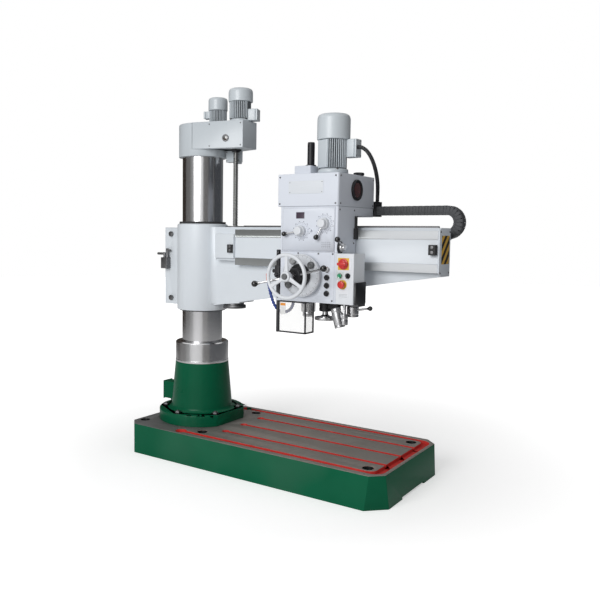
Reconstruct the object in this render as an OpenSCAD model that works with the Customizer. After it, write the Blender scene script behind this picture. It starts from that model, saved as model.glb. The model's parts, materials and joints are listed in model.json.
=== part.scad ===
// Radial arm drill: base with T-slots, fixed foot, turning column, rising arm, sliding head.
// The origin is on the column axis at the floor, X runs along the arm, -Y is the front.

/* [Base] */
// Length of the base casting at its top
base_len = 1770; // [1500:10:2000]
// Width of the base casting at its top
base_wid = 800; // [760:10:1000]
// Height of the base casting
base_h = 180; // [160:5:220]
// Column axis from the left end of the base
base_left = 290; // [280:5:340]
// Corner chamfer of the base
base_chamfer = 80; // [40:5:100]
// How far the sides flare out at the floor
base_draft = 16; // [0:1:30]
// Thickness of the table plate
table_t = 46; // [44:1:60]
// Wall of the hollow base
base_wall = 28; // [20:1:40]
// Distance between T-slots
slot_pitch = 188; // [150:1:190]
// Width of the T-slot neck
slot_w = 22; // [14:1:24]
// Width of the T-slot at its foot
slot_foot_w = 38; // [28:1:42]
// Depth of the T-slot
slot_depth = 38; // [30:1:40]
// Start of the T-slots from the column axis
slot_start = 345; // [330:5:500]
// Width of the coolant channel
channel_w = 26; // [16:1:34]
// Depth of the coolant channel
channel_depth = 18; // [8:1:26]
// Width of the channel across the right end
channel_end_w = 46; // [30:1:60]
// Anchor hole diameter
anchor_d = 28; // [20:1:34]
// Counterbore of the anchor holes
anchor_cbore = 60; // [44:1:70]
// Anchor hole rows from the centre line
anchor_y = 285; // [270:1:300]
// Anchor holes nearest the column, left and right of its axis
anchor_near_x = 240; // [230:1:250]
// Anchor holes at the right end
anchor_far_x = 1356; // [1200:1:1370]

/* [Foot and column] */
// Outer radius of the foot flange
foot_flange_r = 277.5; // [272:0.5:285]
// Thickness of the foot flange
foot_flange_t = 72; // [50:1:80]
// Flat on the table side of the flange, from the axis
foot_flat_x = 242; // [232:1:260]
// Radius of the foot cone at its bottom
foot_cone_r = 198; // [185:1:202]
// Radius of the foot cone at its top
foot_top_r = 174; // [170:1:182]
// Height of the foot's top above the floor
foot_top_z = 560; // [480:5:600]
// Bolt circle radius of the foot bolts
foot_bolt_r = 240; // [234:1:246]
// Height of the polished clamp collar
collar_h = 132; // [100:1:150]
// Radius of the clamp collar
collar_r = 172; // [160:1:174]
// Outer diameter of the turning column
column_d = 260; // [240:1:264]
// Wall of the turning column
column_wall = 22; // [16:1:24]
// Outer diameter of the fixed inner column
inner_d = 200; // [180:1:206]

/* [Column head] */
// Underside of the column head above the floor
cap_z = 1870; // [1800:5:2000]
// Height of the column head
cap_h = 205; // [180:5:240]
// Radius of the round part of the head
cap_r = 153; // [150:1:165]
// Reach of the gear case from the column axis
cap_reach = 369; // [350:1:400]
// Width of the gear case
cap_wid = 146; // [130:1:160]
// Height of the gear case
case_h = 164; // [150:1:172]

/* [Motors] */
// Lift motor axis from the column axis
lift_motor_x = 298; // [290:1:305]
// Lift motor fan cover diameter
lift_motor_d = 150; // [120:1:156]
// Lift motor height
lift_motor_h = 200; // [180:2:260]
// Clamp pump motor fan cover diameter
pump_motor_d = 122; // [100:1:126]
// Clamp pump motor height
pump_motor_h = 172; // [150:2:210]
// Spindle motor fan cover diameter
main_motor_d = 180; // [150:1:184]
// Spindle motor height
main_motor_h = 316; // [280:2:350]
// Number of cooling fins over half a motor
motor_fins = 9; // [6:1:10]

/* [Arm] */
// Height of the arm sleeve's underside above the floor, arm at rest
arm_z = 900; // [882:1:960]
// Height of the arm sleeve
sleeve_h = 550; // [520:2:568]
// Outer radius of the arm sleeve
sleeve_r = 163; // [158:1:170]
// End of the arm from the column axis
arm_reach = 1632; // [1560:2:1680]
// Front of the guide ways from the column axis
way_y = 120; // [115:1:128]
// Back of the arm from the column axis
arm_back = 35; // [30:1:40]
// Depth of the arm at its outer end
arm_end_h = 250; // [240:1:265]
// Depth of the beam at the column
arm_root_h = 495; // [470:1:510]
// Height of each ground guide strip
strip_h = 45; // [38:1:50]
// Distance from rail top to rail bottom
rail_h = 215; // [205:1:220]
// Lift screw diameter
screw_d = 32; // [28:1:34]
// Lift screw axis from the column axis
screw_x = 264; // [256:1:272]

/* [Energy chain] */
// Thickness of the cable chain
chain_t = 52; // [40:1:54]
// Width of the cable chain
chain_w = 60; // [45:1:64]
// Outer radius of the chain's bend
chain_bend_r = 90; // [80:1:96]
// Bend centre from the column axis, head at rest
chain_x = 1592; // [1560:2:1610]
// Pitch of the chain links
chain_pitch = 30; // [26:1:40]

/* [Drill head] */
// Spindle axis from the column axis, head at rest
head_x = 915; // [900:5:960]
// Spindle axis in front of the column axis
spindle_y = 180; // [176:1:190]
// Front of the head
head_front = 330; // [324:1:345]
// Left side of the head from the spindle
head_left = 96; // [92:1:104]
// Right side of the head from the spindle
head_right = 257; // [250:1:264]
// Underside of the head above the floor
head_z = 1029; // [1020:1:1040]
// Height of the head casting
head_h = 509; // [500:1:520]
// Height of the sheet cover on top
cover_h = 172; // [140:2:190]

/* [Spindle] */
// Quill diameter
quill_d = 80; // [70:1:84]
// Quill length
quill_len = 330; // [300:5:340]
// Quill showing below the head at rest
quill_show = 68; // [55:1:80]
// Spindle nose diameter
nose_d = 62; // [56:1:64]
// Large end of the taper socket
taper_d = 31.267; // [23.825:0.001:31.267]
// Depth of the taper socket
taper_depth = 108; // [90:1:120]

/* [Controls] */
// Traverse handwheel diameter
wheel_d = 245; // [200:1:250]
// Traverse handwheel in front of the head
wheel_out = 170; // [165:1:185]
// Height of the handwheel axis above the head's underside
wheel_up = 143; // [140:1:150]
// Handwheel axis right of the spindle
wheel_dx = 55; // [50:1:60]
// Length of the capstan levers
lever_len = 220; // [180:1:230]
// Ball knob diameter on the capstan levers
ball_d = 34; // [26:1:38]
// Feed dial disc diameter
dial_d = 228; // [190:1:230]
// Push button diameter
button_d = 27; // [20:1:28]
// Fine feed wheel diameter
fine_wheel_d = 114; // [90:1:118]

/* [Switch box] */
// Width of the switch box
box_w = 102; // [96:1:120]
// Depth of the switch box
box_d = 125; // [110:1:130]
// Height of the switch box
box_h = 262; // [256:1:280]

/* [Guard and coolant] */
// Width of the chip guard
guard_w = 190; // [180:1:192]
// Depth of the chip guard
guard_d = 92; // [80:1:96]
// Height of the chip guard
guard_h = 176; // [150:2:190]
// Outside diameter of the coolant hose
hose_d = 19; // [16:1:20]
// Outside diameter of the motor conduit
conduit_d = 22; // [18:1:24]
// Number of segments of the coolant hose
hose_ribs = 26; // [20:1:30]
// Number of ribs of the motor conduit
conduit_ribs = 60; // [40:1:70]

/* [Fits] */
// Running clearance at round fits, on the radius
fit = 0.3; // [0.2:0.05:0.5]

/* [Hidden] */
$fn = 64;
half_w = base_wid / 2;
x_left = -base_left;
x_right = base_len - base_left;
plate_z = base_h - table_t;
foot_z = base_h;
flange_z = foot_z + foot_flange_t;
collar_top = foot_top_z + collar_h;
column_r = column_d / 2;
inner_r = inner_d / 2;
column_foot_z = foot_top_z + 6;
cap_top = cap_z + cap_h;
case_z = cap_top - case_h;
// Half the angle between the two points where the case's flanks touch the cap
case_turn = atan2(cap_wid / 2, cap_reach) + acos(cap_r / norm([cap_reach, cap_wid / 2]));
sight_x = cap_reach - 112;
sight_y = -cap_wid / 2 - (cap_reach - sight_x) / tan(case_turn);
column_top = cap_z + 30;
sleeve_top = arm_z + sleeve_h;
seal_h = 13;
beam_top = sleeve_top - 20;
rail_top = beam_top - 15;
rail_bottom = rail_top - rail_h;
arm_end_z = beam_top - arm_end_h;
arm_root_z = beam_top - arm_root_h;
rail_start = 352;
root_rise = 26;
lip_t = 25;
groove = 25;
web_y = way_y - lip_t - groove;
fillet_r = 60;
fillet_x = sqrt(pow(sleeve_r + fillet_r, 2) - pow(web_y + fillet_r, 2));
ear_x = -285;
ear_bolt_x = -228;
ear_bolt_z = [arm_z + 61, sleeve_top - 67];
screw_r = screw_d / 2;
screw_bottom = sleeve_top - 260;
screw_top = case_z + 40;
head_x0 = head_x - head_left;
head_x1 = head_x + head_right;
head_top = head_z + head_h;
over_z = beam_top + 60;
head_back = arm_back + 48;
cover_top = head_top + cover_h;
quill_r = quill_d / 2;
quill_bottom = head_z - quill_show;
quill_top = quill_bottom + quill_len;
nose_z = quill_bottom - 27;
wheel_x = head_x + wheel_dx;
wheel_z = head_z + wheel_up;
chain_y = head_back + 8;
chain_top = head_top + 14;
chain_mid = chain_top - chain_bend_r;
chain_low = chain_mid - chain_bend_r;
chain_in = chain_bend_r - chain_t;
chain_tail = 655;
chain_lower_tail = 520;
bracket_x = head_x1 + 16;
main_motor_x = head_x + 117;
main_motor_y = -140;
tube_foot = cover_top + 53;
tube_top = cover_top + 182;
box_x1 = head_x1 + box_w;
box_front = head_front + 10;
box_z = head_z + 2;
// Side lever's axis: its hub stands 8 mm above the switch box
lever_z = box_z + box_h + 30;
fine_x = head_x + 127;
fine_y = -212;
guard_x = head_x0 - 29;
guard_y = -head_front + 12;
guard_z = head_z - 2 - guard_h;
rail_up = 258;
panel_t = 4;
panel_y = -head_front - panel_t;
dial_x = [head_x + 40, head_x + 182];
dial_z = [head_z + 379, head_z + 418];
button_x = head_x + 199;
button_z = [for (i = [0:3]) head_z + 178 - 42 * i];
lock_x = head_x + 273;
lock_y = -172;
lock_plate_t = 20;
lamp_x = head_x + 205;
lamp_y = -246;

// Conduit from the spindle motor's box to the chain bracket
conduit_path = [for (p = [[0.5, -130, 0], [10.3, -130, 0], [27.3, -127.3, -4.3],
    [46.4, -117.8, -19.1], [58.7, -103.2, -40.2], [65.3, -85.2, -64.4], [67.3, -64.7, -89.1],
    [65.4, -42.3, -112.8], [60.5, -18.4, -134.7], [53.2, 6.6, -154.6], [44.1, 32.2, -172.9],
    [33.8, 57.7, -190.4], [23.3, 81.6, -208.3], [13.8, 102, -227.8], [7, 116, -250.7],
    [5, 120, -268.6], [5, 120, -278.4]])
    [head_x1 + p[0], p[1], cover_top + 147 + p[2]]];
// Coolant hose from the head's underside to its nozzle
hose_path = [for (p = [[0, 0], [0, -10], [0, -20], [-9, -44], [-32, -66], [-66, -74],
    [-100, -64], [-126, -36], [-144, 2], [-157, 42], [-163, 66], [-169, 90]])
    [head_x - 57 + p[0], -250, head_z + p[1]]];

// Box between two corners
module block(x0, x1, y0, y1, z0, z1) {
    translate([x0, y0, z0]) cube([x1 - x0, y1 - y0, z1 - z0]);
}

// Rectangle with round corners about the origin
module round_rect(w, d, r) {
    square([w - 2 * r, d], center = true);
    square([w, d - 2 * r], center = true);
    for (i = [-1, 1], j = [-1, 1])
        translate([i * (w / 2 - r), j * (d / 2 - r)]) circle(r);
}

// Box with round upright edges
module round_block(x0, x1, y0, y1, z0, z1, r) {
    translate([(x0 + x1) / 2, (y0 + y1) / 2, z0])
        linear_extrude(z1 - z0) round_rect(x1 - x0, y1 - y0, r);
}

// Plate drawn in the XZ plane, from y0 to y1
module side_plate(points, y0, y1) {
    translate([0, y1, 0]) rotate([90, 0, 0]) linear_extrude(y1 - y0) polygon(points);
}

// Plate drawn in the YZ plane, from x0 to x1
module end_profile(points, x0, x1) {
    translate([x0, 0, 0]) rotate([90, 0, 90]) linear_extrude(x1 - x0) polygon(points);
}

// Upright round disc with a rounded top edge
module disc(r, z0, z1, e) {
    translate([0, 0, z0]) rotate_extrude() {
        square([r - e, z1 - z0]);
        square([r, z1 - z0 - e]);
        translate([r - e, z1 - z0 - e]) intersection() {
            circle(e);
            square(e);
        }
    }
}

// Upright tube
module tube(r, bore, z0, z1) {
    difference() {
        translate([0, 0, z0]) cylinder(r = r, h = z1 - z0);
        translate([0, 0, z0 - 1]) cylinder(r = bore, h = z1 - z0 + 2);
    }
}

// Round bar along Y, from y0 to y1
module bar_y(x, z, r, y0, y1) {
    translate([x, y1, z]) rotate([90, 0, 0]) cylinder(r = r, h = y1 - y0);
}

// Round bar along X, from x0 to x1
module bar_x(y, z, r, x0, x1) {
    translate([x0, y, z]) rotate([0, 90, 0]) cylinder(r = r, h = x1 - x0);
}

// Electric motor standing on its flange, with fins, fan cover and terminal box
module motor(d, h, fan_share, box_turn, box_l, box_t, box_h, box_up, box_side) {
    body_r = d * 0.41;
    fan_h = h * fan_share;
    difference() {
        union() {
            cylinder(r = d * 0.46, h = h * 0.06);
            cylinder(r = body_r, h = h - fan_h);
            for (i = [0:motor_fins - 1])
                rotate([0, 0, (i + 0.5) * 180 / motor_fins])
                    translate([-d * 0.47, -2, h * 0.08])
                        cube([d * 0.94, 4, h * (0.9 - fan_share)]);
            disc(d / 2, h - fan_h, h, d * 0.09);
            rotate([0, 0, box_turn])
                translate([body_r - 8, box_side - box_t / 2, box_up])
                    cube([box_l + 8, box_t, box_h]);
        }
        translate([0, 0, h - 3]) tube(d * 0.36, d * 0.31, 0, 6);
        translate([0, 0, h - 3]) tube(d * 0.24, d * 0.19, 0, 6);
        translate([0, 0, h - 3]) cylinder(r = d * 0.1, h = 6);
    }
}

// Point on a smooth curve through the points p, at t from 0 to the number of spans
function curve(p, t) = let(i = min(floor(t), len(p) - 2), u = t - i,
    a = p[max(i - 1, 0)], b = p[i], c = p[i + 1], d = p[min(i + 2, len(p) - 1)])
    b + u * (c - a) / 2 + u * u * (a - 2.5 * b + 2 * c - d / 2)
        + u * u * u * (1.5 * (b - c) + (d - a) / 2);

// Ring of points about a path
function unit(v) = v / norm(v);
function path_dir(p, i) = unit(p[min(i + 1, len(p) - 1)] - p[max(i - 1, 0)]);
function side_dir(p, i) = unit(cross(path_dir(p, i), [0.3, 1, 0.2]));
function ring(p, i, r, n) = [for (k = [0:n - 1])
    p[i] + r * (cos(k * 360 / n) * side_dir(p, i)
        + sin(k * 360 / n) * cross(path_dir(p, i), side_dir(p, i)))];

// Skin between ring i and the next one, each of n points, the first point at index s
function skin(s, i, n) = [for (k = [0:n - 1]) each [
    [s + i * n + k, s + (i + 1) * n + k, s + (i + 1) * n + (k + 1) % n],
    [s + i * n + k, s + (i + 1) * n + (k + 1) % n, s + i * n + (k + 1) % n]]];
function flip(faces) = [for (f = faces) [f[2], f[1], f[0]]];

// Ribbed hose along a route, with its bore
module ribbed_hose(route, d, wall, ribs) {
    n = 8;
    m = 2 * ribs;
    axis = [for (i = [0:m]) curve(route, i * (len(route) - 1) / m)];
    outer = [for (i = [0:m]) each ring(axis, i, d / 2 - (i % 2 == 0 ? wall * 0.5 : 0), n)];
    inner = [for (i = [0:m]) each ring(axis, i, d / 2 - wall, n)];
    s = len(outer);
    ends = [for (i = [0, m], k = [0:n - 1]) each (i == 0
        ? [[k, (k + 1) % n, s + k], [(k + 1) % n, s + (k + 1) % n, s + k]]
        : [[m * n + k, s + m * n + k, m * n + (k + 1) % n],
            [m * n + (k + 1) % n, s + m * n + k, s + m * n + (k + 1) % n]])];
    polyhedron(concat(outer, inner), concat(ends,
        [for (i = [0:m - 1]) each skin(0, i, n)],
        flip([for (i = [0:m - 1]) each skin(s, i, n)])));
}

// Base casting with table, T-slots, coolant channel and anchor holes
module base_casting() {
    c = base_chamfer;
    d = base_draft;
    inner = channel_w / 2;
    channel_y = half_w - 55;
    ground = x_right - 22;
    color([0.02, 0.30, 0.16]) difference() {
        intersection() {
            end_profile([[-half_w - d, 0], [half_w + d, 0], [half_w, base_h], [-half_w, base_h]],
                x_left - d, x_right + d);
            side_plate([[x_left - d, 0], [x_right + d, 0], [x_right, base_h], [x_left, base_h]],
                -half_w - d, half_w + d);
            linear_extrude(base_h) polygon([[x_left - d, -half_w + c], [x_left + c, -half_w - d],
                [x_right - c, -half_w - d], [x_right + d, -half_w + c],
                [x_right + d, half_w - c], [x_right - c, half_w + d],
                [x_left + c, half_w + d], [x_left - d, half_w - c]]);
        }
        // hollow underside with ribs and a solid pad under the column
        difference() {
            translate([0, 0, -1]) linear_extrude(plate_z + 1) polygon([
                [x_left + base_wall, -half_w + c], [x_left + c, -half_w + base_wall],
                [x_right - c, -half_w + base_wall], [x_right - base_wall, -half_w + c],
                [x_right - base_wall, half_w - c], [x_right - c, half_w - base_wall],
                [x_left + c, half_w - base_wall], [x_left + base_wall, half_w - c]]);
            translate([0, 0, -2]) cylinder(r = column_r + 60, h = base_h);
            for (y = [-slot_pitch, 0, slot_pitch])
                block(x_left, x_right, y - 12, y + 12, -2, base_h);
            for (i = [1:5]) {
                x = anchor_near_x - 35 + 212 * i;
                block(x - 12, x + 12, -half_w, half_w, -2, base_h);
            }
            for (x = [-anchor_near_x, anchor_near_x, anchor_far_x], y = [-anchor_y, anchor_y])
                translate([x, y, -2]) cylinder(r = anchor_cbore / 2 + 14, h = base_h);
            block(x_left, x_right, -half_w, -anchor_y - anchor_cbore / 2, -2, base_h);
            block(x_left, x_right, anchor_y + anchor_cbore / 2, half_w, -2, base_h);
        }
        // relief under the right end
        block(x_right - 60, x_right + d + 1, -150, 150, -1, 12);
        // T-slots
        for (y = [-slot_pitch, 0, slot_pitch]) {
            block(slot_start, ground - channel_end_w / 2, y - slot_w / 2, y + slot_w / 2,
                base_h - slot_depth, base_h + 1);
            block(slot_start, ground - channel_end_w / 2, y - slot_foot_w / 2, y + slot_foot_w / 2,
                base_h - slot_depth, base_h - slot_depth + 16);
            translate([slot_start, y, base_h - slot_depth]) cylinder(r = 22, h = slot_depth + 1);
        }
        // coolant channel round the table
        translate([0, 0, base_h - channel_depth]) linear_extrude(channel_depth + 1) {
            for (s = [-1, 1]) {
                translate([120, s * channel_y - inner])
                    square([ground - 150 - channel_end_w, channel_w]);
                translate([120, s * channel_y]) circle(34);
            }
            difference() {
                translate([ground - 80, 0]) round_rect(160, 2 * channel_y + channel_w, 60);
                translate([ground - channel_end_w - 120, 0])
                    round_rect(240, 2 * channel_y - channel_w, 42);
                translate([ground - 200, -half_w]) square([120, base_wid]);
            }
            for (s = [-1, 1])
                translate([ground - 100 - channel_end_w, s * channel_y - inner])
                    square([channel_end_w + 40, channel_w]);
        }
        // anchor holes
        for (x = [-anchor_near_x, anchor_near_x, anchor_far_x], y = [-anchor_y, anchor_y])
            translate([x, y, 0]) {
                translate([0, 0, -1]) cylinder(d = anchor_d, h = base_h + 2);
                translate([0, 0, base_h - 30]) cylinder(d = anchor_cbore, h = 31);
            }
        // tapped holes for the foot bolts
        for (i = [0:5]) rotate([0, 0, 30 + 60 * i])
            translate([foot_bolt_r, 0, base_h - 34]) cylinder(d = 24, h = 35);
    }
}

// Foot that carries the column
module column_foot() {
    f = 26;
    color([0.02, 0.30, 0.16]) difference() {
        union() {
            intersection() {
                disc(foot_flange_r, foot_z, flange_z, 8);
                block(-foot_flange_r, foot_flat_x, -foot_flange_r, foot_flange_r, foot_z, flange_z);
            }
            rotate_extrude() difference() {
                polygon([[20, flange_z - 1], [foot_cone_r + f, flange_z - 1],
                    [foot_cone_r + f, flange_z], [foot_cone_r, flange_z + f],
                    [foot_top_r, foot_top_z - 10], [foot_top_r, foot_top_z], [20, foot_top_z]]);
                translate([foot_cone_r + f, flange_z + f]) circle(f);
            }
        }
        translate([0, 0, foot_z - 1]) cylinder(r = inner_r, h = foot_top_z);
        for (i = [0:5]) rotate([0, 0, 30 + 60 * i]) translate([foot_bolt_r, 0, 0]) {
            translate([0, 0, foot_z - 1]) cylinder(d = 25, h = 90);
            translate([0, 0, flange_z - 6]) cylinder(d = 58, h = 60);
        }
    }
}

// Six bolts that hold the foot down
module foot_bolts() {
    color([0.12, 0.13, 0.13]) for (i = [0:5]) rotate([0, 0, 30 + 60 * i])
        translate([foot_bolt_r, 0, 0]) {
            translate([0, 0, base_h - 30]) cylinder(d = 24, h = flange_z - base_h + 30);
            translate([0, 0, flange_z - 6]) cylinder(d = 44, h = 4);
            translate([0, 0, flange_z - 2]) rotate([0, 0, 30]) cylinder(d = 41.5, h = 15, $fn = 6);
        }
}

// Fixed inner column that the outer one turns about
module inner_column() {
    race_r = column_r - column_wall - fit;
    color([0.45, 0.46, 0.47]) difference() {
        union() {
            translate([0, 0, foot_z]) cylinder(r = inner_r, h = cap_z + 8 - foot_z);
            // thrust ring and the two bearing seats
            translate([0, 0, foot_top_z]) cylinder(r = column_r - 2, h = 5.7);
            for (z = [foot_top_z + 50, cap_z - 90])
                translate([0, 0, z]) cylinder(r = race_r, h = 60);
        }
        translate([0, 0, foot_z - 1]) cylinder(r = inner_r - 24, h = cap_z);
    }
}

// Polished clamp collar on the foot
module clamp_collar() {
    color([0.72, 0.73, 0.74]) difference() {
        union() {
            disc(collar_r, foot_top_z, collar_top, 9);
            translate([0, 0, foot_top_z]) cylinder(r = collar_r + 1.5, h = 14);
        }
        translate([0, 0, foot_top_z - 1]) cylinder(r = column_r + fit, h = collar_h + 2);
    }
}

// Mains terminal box on the foot's left
module power_box() {
    color([0.03, 0.32, 0.18]) difference() {
        union() {
            block(-286, -170, -56, 24, flange_z + 24, flange_z + 138);
            block(-290, -286, -60, 28, flange_z + 20, flange_z + 142);
            translate([-240, -16, flange_z + 8]) cylinder(r = 16, h = 18);
        }
        translate([0, 0, flange_z]) cylinder(r = foot_cone_r + 0.1, h = 26.01);
        translate([0, 0, flange_z + 26])
            cylinder(r1 = foot_cone_r, r2 = foot_top_r, h = foot_top_z - flange_z - 36);
    }
}

// Turning outer column
module outer_column() {
    color([0.68, 0.69, 0.70]) tube(column_r, column_r - column_wall, column_foot_z, column_top);
}

// Column head with the lift gear case
module column_head() {
    color([0.80, 0.83, 0.86]) difference() {
        union() {
            disc(cap_r, cap_z, cap_top, 10);
            // gear case, its flanks tangent to the cap
            translate([0, 0, case_z]) linear_extrude(case_h)
                polygon([[cap_r * cos(case_turn), -cap_r * sin(case_turn)],
                    [cap_reach, -cap_wid / 2], [cap_reach, cap_wid / 2],
                    [cap_r * cos(case_turn), cap_r * sin(case_turn)]]);
        }
        translate([0, 0, cap_z - 1]) cylinder(r = column_r, h = column_top - cap_z + 1);
        translate([0, 0, cap_z]) cylinder(r = column_r - 20, h = cap_h - 22);
        translate([screw_x, 0, case_z - 1]) cylinder(r = screw_r + fit, h = screw_top - case_z + 5);
    }
}

// Screw bearing under the gear case
module screw_bearing() {
    color([0.08, 0.08, 0.09]) translate([screw_x, 0, 0]) difference() {
        union() {
            translate([0, 0, case_z - 10]) cylinder(r = 34, h = 10);
            translate([0, 0, case_z - 18]) cylinder(r = 24, h = 9);
        }
        translate([0, 0, case_z - 19]) cylinder(r = screw_r + fit, h = 20);
    }
}

// Limit switch box behind the screw
module limit_box() {
    color([0.74, 0.78, 0.81]) {
        round_block(158, 266, 35, 72, case_z - 72, case_z, 6);
        block(242, 264, 40, 66, case_z - 84, case_z - 72);
    }
}

// Oil sight glass on the gear case
module oil_sight() {
    color([0.75, 0.76, 0.72]) translate([sight_x, sight_y, case_z + 60])
        rotate([90, 0, 90 - case_turn]) {
            cylinder(r = 22, h = 6);
            cylinder(r = 15, h = 8);
        }
}

// Lift motor on the gear case
module lift_motor() {
    color([0.70, 0.74, 0.77]) translate([lift_motor_x, 0, cap_top])
        motor(lift_motor_d, lift_motor_h, 0.38, 20, 54, 70, 70, 4, 0);
}

// Clamp pump motor on the column head
module pump_motor() {
    color([0.70, 0.74, 0.77]) translate([85, 45, cap_top])
        motor(pump_motor_d, pump_motor_h, 0.44, 195, 40, 50, 46, 44, 0);
}

// Lift screw
module lift_screw() {
    color([0.62, 0.63, 0.64]) translate([screw_x, 0, 0]) {
        translate([0, 0, screw_bottom]) cylinder(r = screw_r, h = screw_top - screw_bottom);
        translate([0, 0, screw_bottom - 12]) cylinder(r1 = screw_r - 4, r2 = screw_r, h = 12);
    }
}

// Arm casting: sleeve, clamp ears, tapered beam and guide rails
module arm_casting() {
    y0 = -way_y;
    bore_z = arm_z - 10;
    color([0.82, 0.85, 0.88]) difference() {
        union() {
            disc(sleeve_r, arm_z, sleeve_top, 14);
            // clamp ears
            side_plate([[ear_x, arm_z + 20], [-120, arm_z + 20], [-120, sleeve_top - 24],
                [ear_x, sleeve_top - 24]], -45, 45);
            // root between sleeve and beam
            side_plate([[60, arm_root_z - 4], [rail_start, arm_root_z + root_rise],
                [rail_start, beam_top], [60, beam_top]], -web_y, 86);
            block(210, rail_start, y0 - 15, 0, rail_bottom + 40, rail_top - 28);
            // concave fillet between the sleeve and the arm's front
            translate([0, 0, arm_root_z + 10]) linear_extrude(arm_root_h - 10) difference() {
                polygon([[100, -40], [fillet_x, -40], [fillet_x, -web_y - fillet_r],
                    [fillet_x * sleeve_r / (sleeve_r + fillet_r),
                    -(web_y + fillet_r) * sleeve_r / (sleeve_r + fillet_r)]]);
                translate([fillet_x, -web_y - fillet_r]) circle(fillet_r);
            }
            // tapered beam
            side_plate([[150, arm_root_z], [arm_reach, arm_end_z], [arm_reach, beam_top],
                [150, beam_top]], -web_y, arm_back);
            // rail plate with its two ground strips
            block(200, arm_reach, y0 + 4, -web_y, rail_bottom + lip_t, rail_top - lip_t);
            block(rail_start, arm_reach, y0, y0 + lip_t, rail_top - strip_h, rail_top);
            block(rail_start, arm_reach, y0, y0 + lip_t, rail_bottom, rail_bottom + strip_h);
        }
        translate([0, 0, bore_z]) cylinder(r = column_r + fit, h = sleeve_h + 20);
        // split between the ears
        block(ear_x - 1, -120, -5, 5, bore_z, sleeve_top + 10);
        for (z = ear_bolt_z) bar_y(ear_bolt_x, z, 13, -50, 50);
        bar_y(-262, arm_z + 292, 14 + fit, -50, 50);
        // seat of the lower bush
        translate([screw_x, 0, arm_z + 1]) cylinder(r = 60, h = arm_root_z + 25 - arm_z);
        // screw passage
        translate([screw_x, 0, bore_z]) cylinder(r = screw_r + 6, h = sleeve_h + 20);
        // ribbed pockets in the back
        for (i = [0:4]) {
            a = 420 + 242 * i;
            b = a + 212;
            za = arm_root_z + (a - 150) * (arm_end_z - arm_root_z) / (arm_reach - 150) + 34;
            zb = arm_root_z + (b - 150) * (arm_end_z - arm_root_z) / (arm_reach - 150) + 34;
            side_plate([[a, za], [b, zb], [b, beam_top - 78], [a, beam_top - 78]],
                -web_y + 32, arm_back + 1);
        }
    }
}

// Felt seals above and below the sleeve
module arm_seals() {
    color([0.07, 0.07, 0.08]) {
        tube(column_r + 20, column_r + fit, sleeve_top, sleeve_top + seal_h);
        tube(column_r + 18, column_r + fit, arm_z - 7, arm_z);
    }
}

// Lift nut on the arm and the bush under it
module lift_nut() {
    bush_r = 72;
    // heights of the root's and the beam's undersides above the bush's inner edge
    inner_x = screw_x - bush_r;
    root_under = arm_root_z - 4 + (inner_x - 60) / (rail_start - 60) * (root_rise + 4);
    beam_under = arm_root_z + (inner_x - 150) / (arm_reach - 150) * (arm_end_z - arm_root_z);
    bush_top = min(root_under, beam_under, arm_root_z + 10);
    color([0.40, 0.41, 0.42]) translate([screw_x, 0, 0]) {
        tube(60, screw_r + fit, beam_top, beam_top + 7);
        tube(screw_r + 6, screw_r + fit, beam_top - 62, beam_top);
        tube(60, screw_r + 6, bush_top - 1, arm_root_z + 26);
        tube(bush_r, screw_r + 6, bush_top - 20, bush_top);
    }
}

// Sleeve clamp: two bolts through the ears and the hydraulic cylinder
module sleeve_clamp() {
    color([0.35, 0.36, 0.37]) {
        for (z = ear_bolt_z) {
            bar_y(ear_bolt_x, z, 12.6, -54, 54);
            bar_y(ear_bolt_x, z, 17, -58, -45);
            bar_y(ear_bolt_x, z, 17, 45, 58);
        }
        block(-290, -238, -84, -45, arm_z + 255, arm_z + 328);
        bar_y(-262, arm_z + 292, 14, -46, 60);
        bar_y(-262, arm_z + 292, 20, 45, 57);
        translate([-250, -64, arm_z + 328]) cylinder(r = 9, h = 60);
        translate([-276, -64, arm_z + 328]) cylinder(r = 7, h = 34);
        bar_x(-64, arm_z + 352, 8, -334, -276);
        bar_x(-64, arm_z + 376, 7, -250, -222);
    }
}

// Rack on top of the arm for the traverse pinion
module traverse_rack() {
    pitch = 9.42;
    count = floor((arm_reach - rail_start - 30) / pitch);
    color([0.35, 0.36, 0.37]) side_plate(concat([[rail_start + 10, beam_top]],
        [for (i = [0:count - 1]) each [
            [rail_start + 10 + i * pitch + 1.2, beam_top + 4],
            [rail_start + 10 + i * pitch + 3.6, beam_top + 10],
            [rail_start + 10 + i * pitch + 5.8, beam_top + 10],
            [rail_start + 10 + i * pitch + 8.2, beam_top + 4]]],
        [[rail_start + 10 + count * pitch, beam_top]]), -48, -28);
}

// Plate on the arm's outer end
module end_plate() {
    color([0.55, 0.57, 0.58]) end_profile([[-way_y, rail_bottom], [-web_y - 8, arm_end_z],
        [arm_back, arm_end_z], [arm_back, beam_top], [-way_y + lip_t, beam_top],
        [-way_y, rail_top]], arm_reach, arm_reach + 8);
}

// Rubber travel stops at both ends of the ways
module travel_stops() {
    color([0.06, 0.06, 0.07]) {
        block(rail_start - 38, rail_start - 2, -way_y - 31, -way_y - 15, beam_top - 156,
            beam_top - 106);
        block(arm_reach - 42, arm_reach - 4, -way_y - 27, -way_y + 4, beam_top - 138,
            beam_top - 86);
    }
}

// Tray on the arm's back that the lower chain run lies in
module chain_trough() {
    color([0.62, 0.65, 0.67]) {
        end_profile([[arm_back, chain_low - 4], [chain_y + chain_w + 5, chain_low - 4],
            [chain_y + chain_w + 5, chain_low + 26], [chain_y + chain_w + 2, chain_low + 26],
            [chain_y + chain_w + 2, chain_low - fit], [arm_back + 3, chain_low - fit],
            [arm_back + 3, chain_low + 30], [arm_back, chain_low + 30]],
            820, arm_reach - 30);
    }
}

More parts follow.
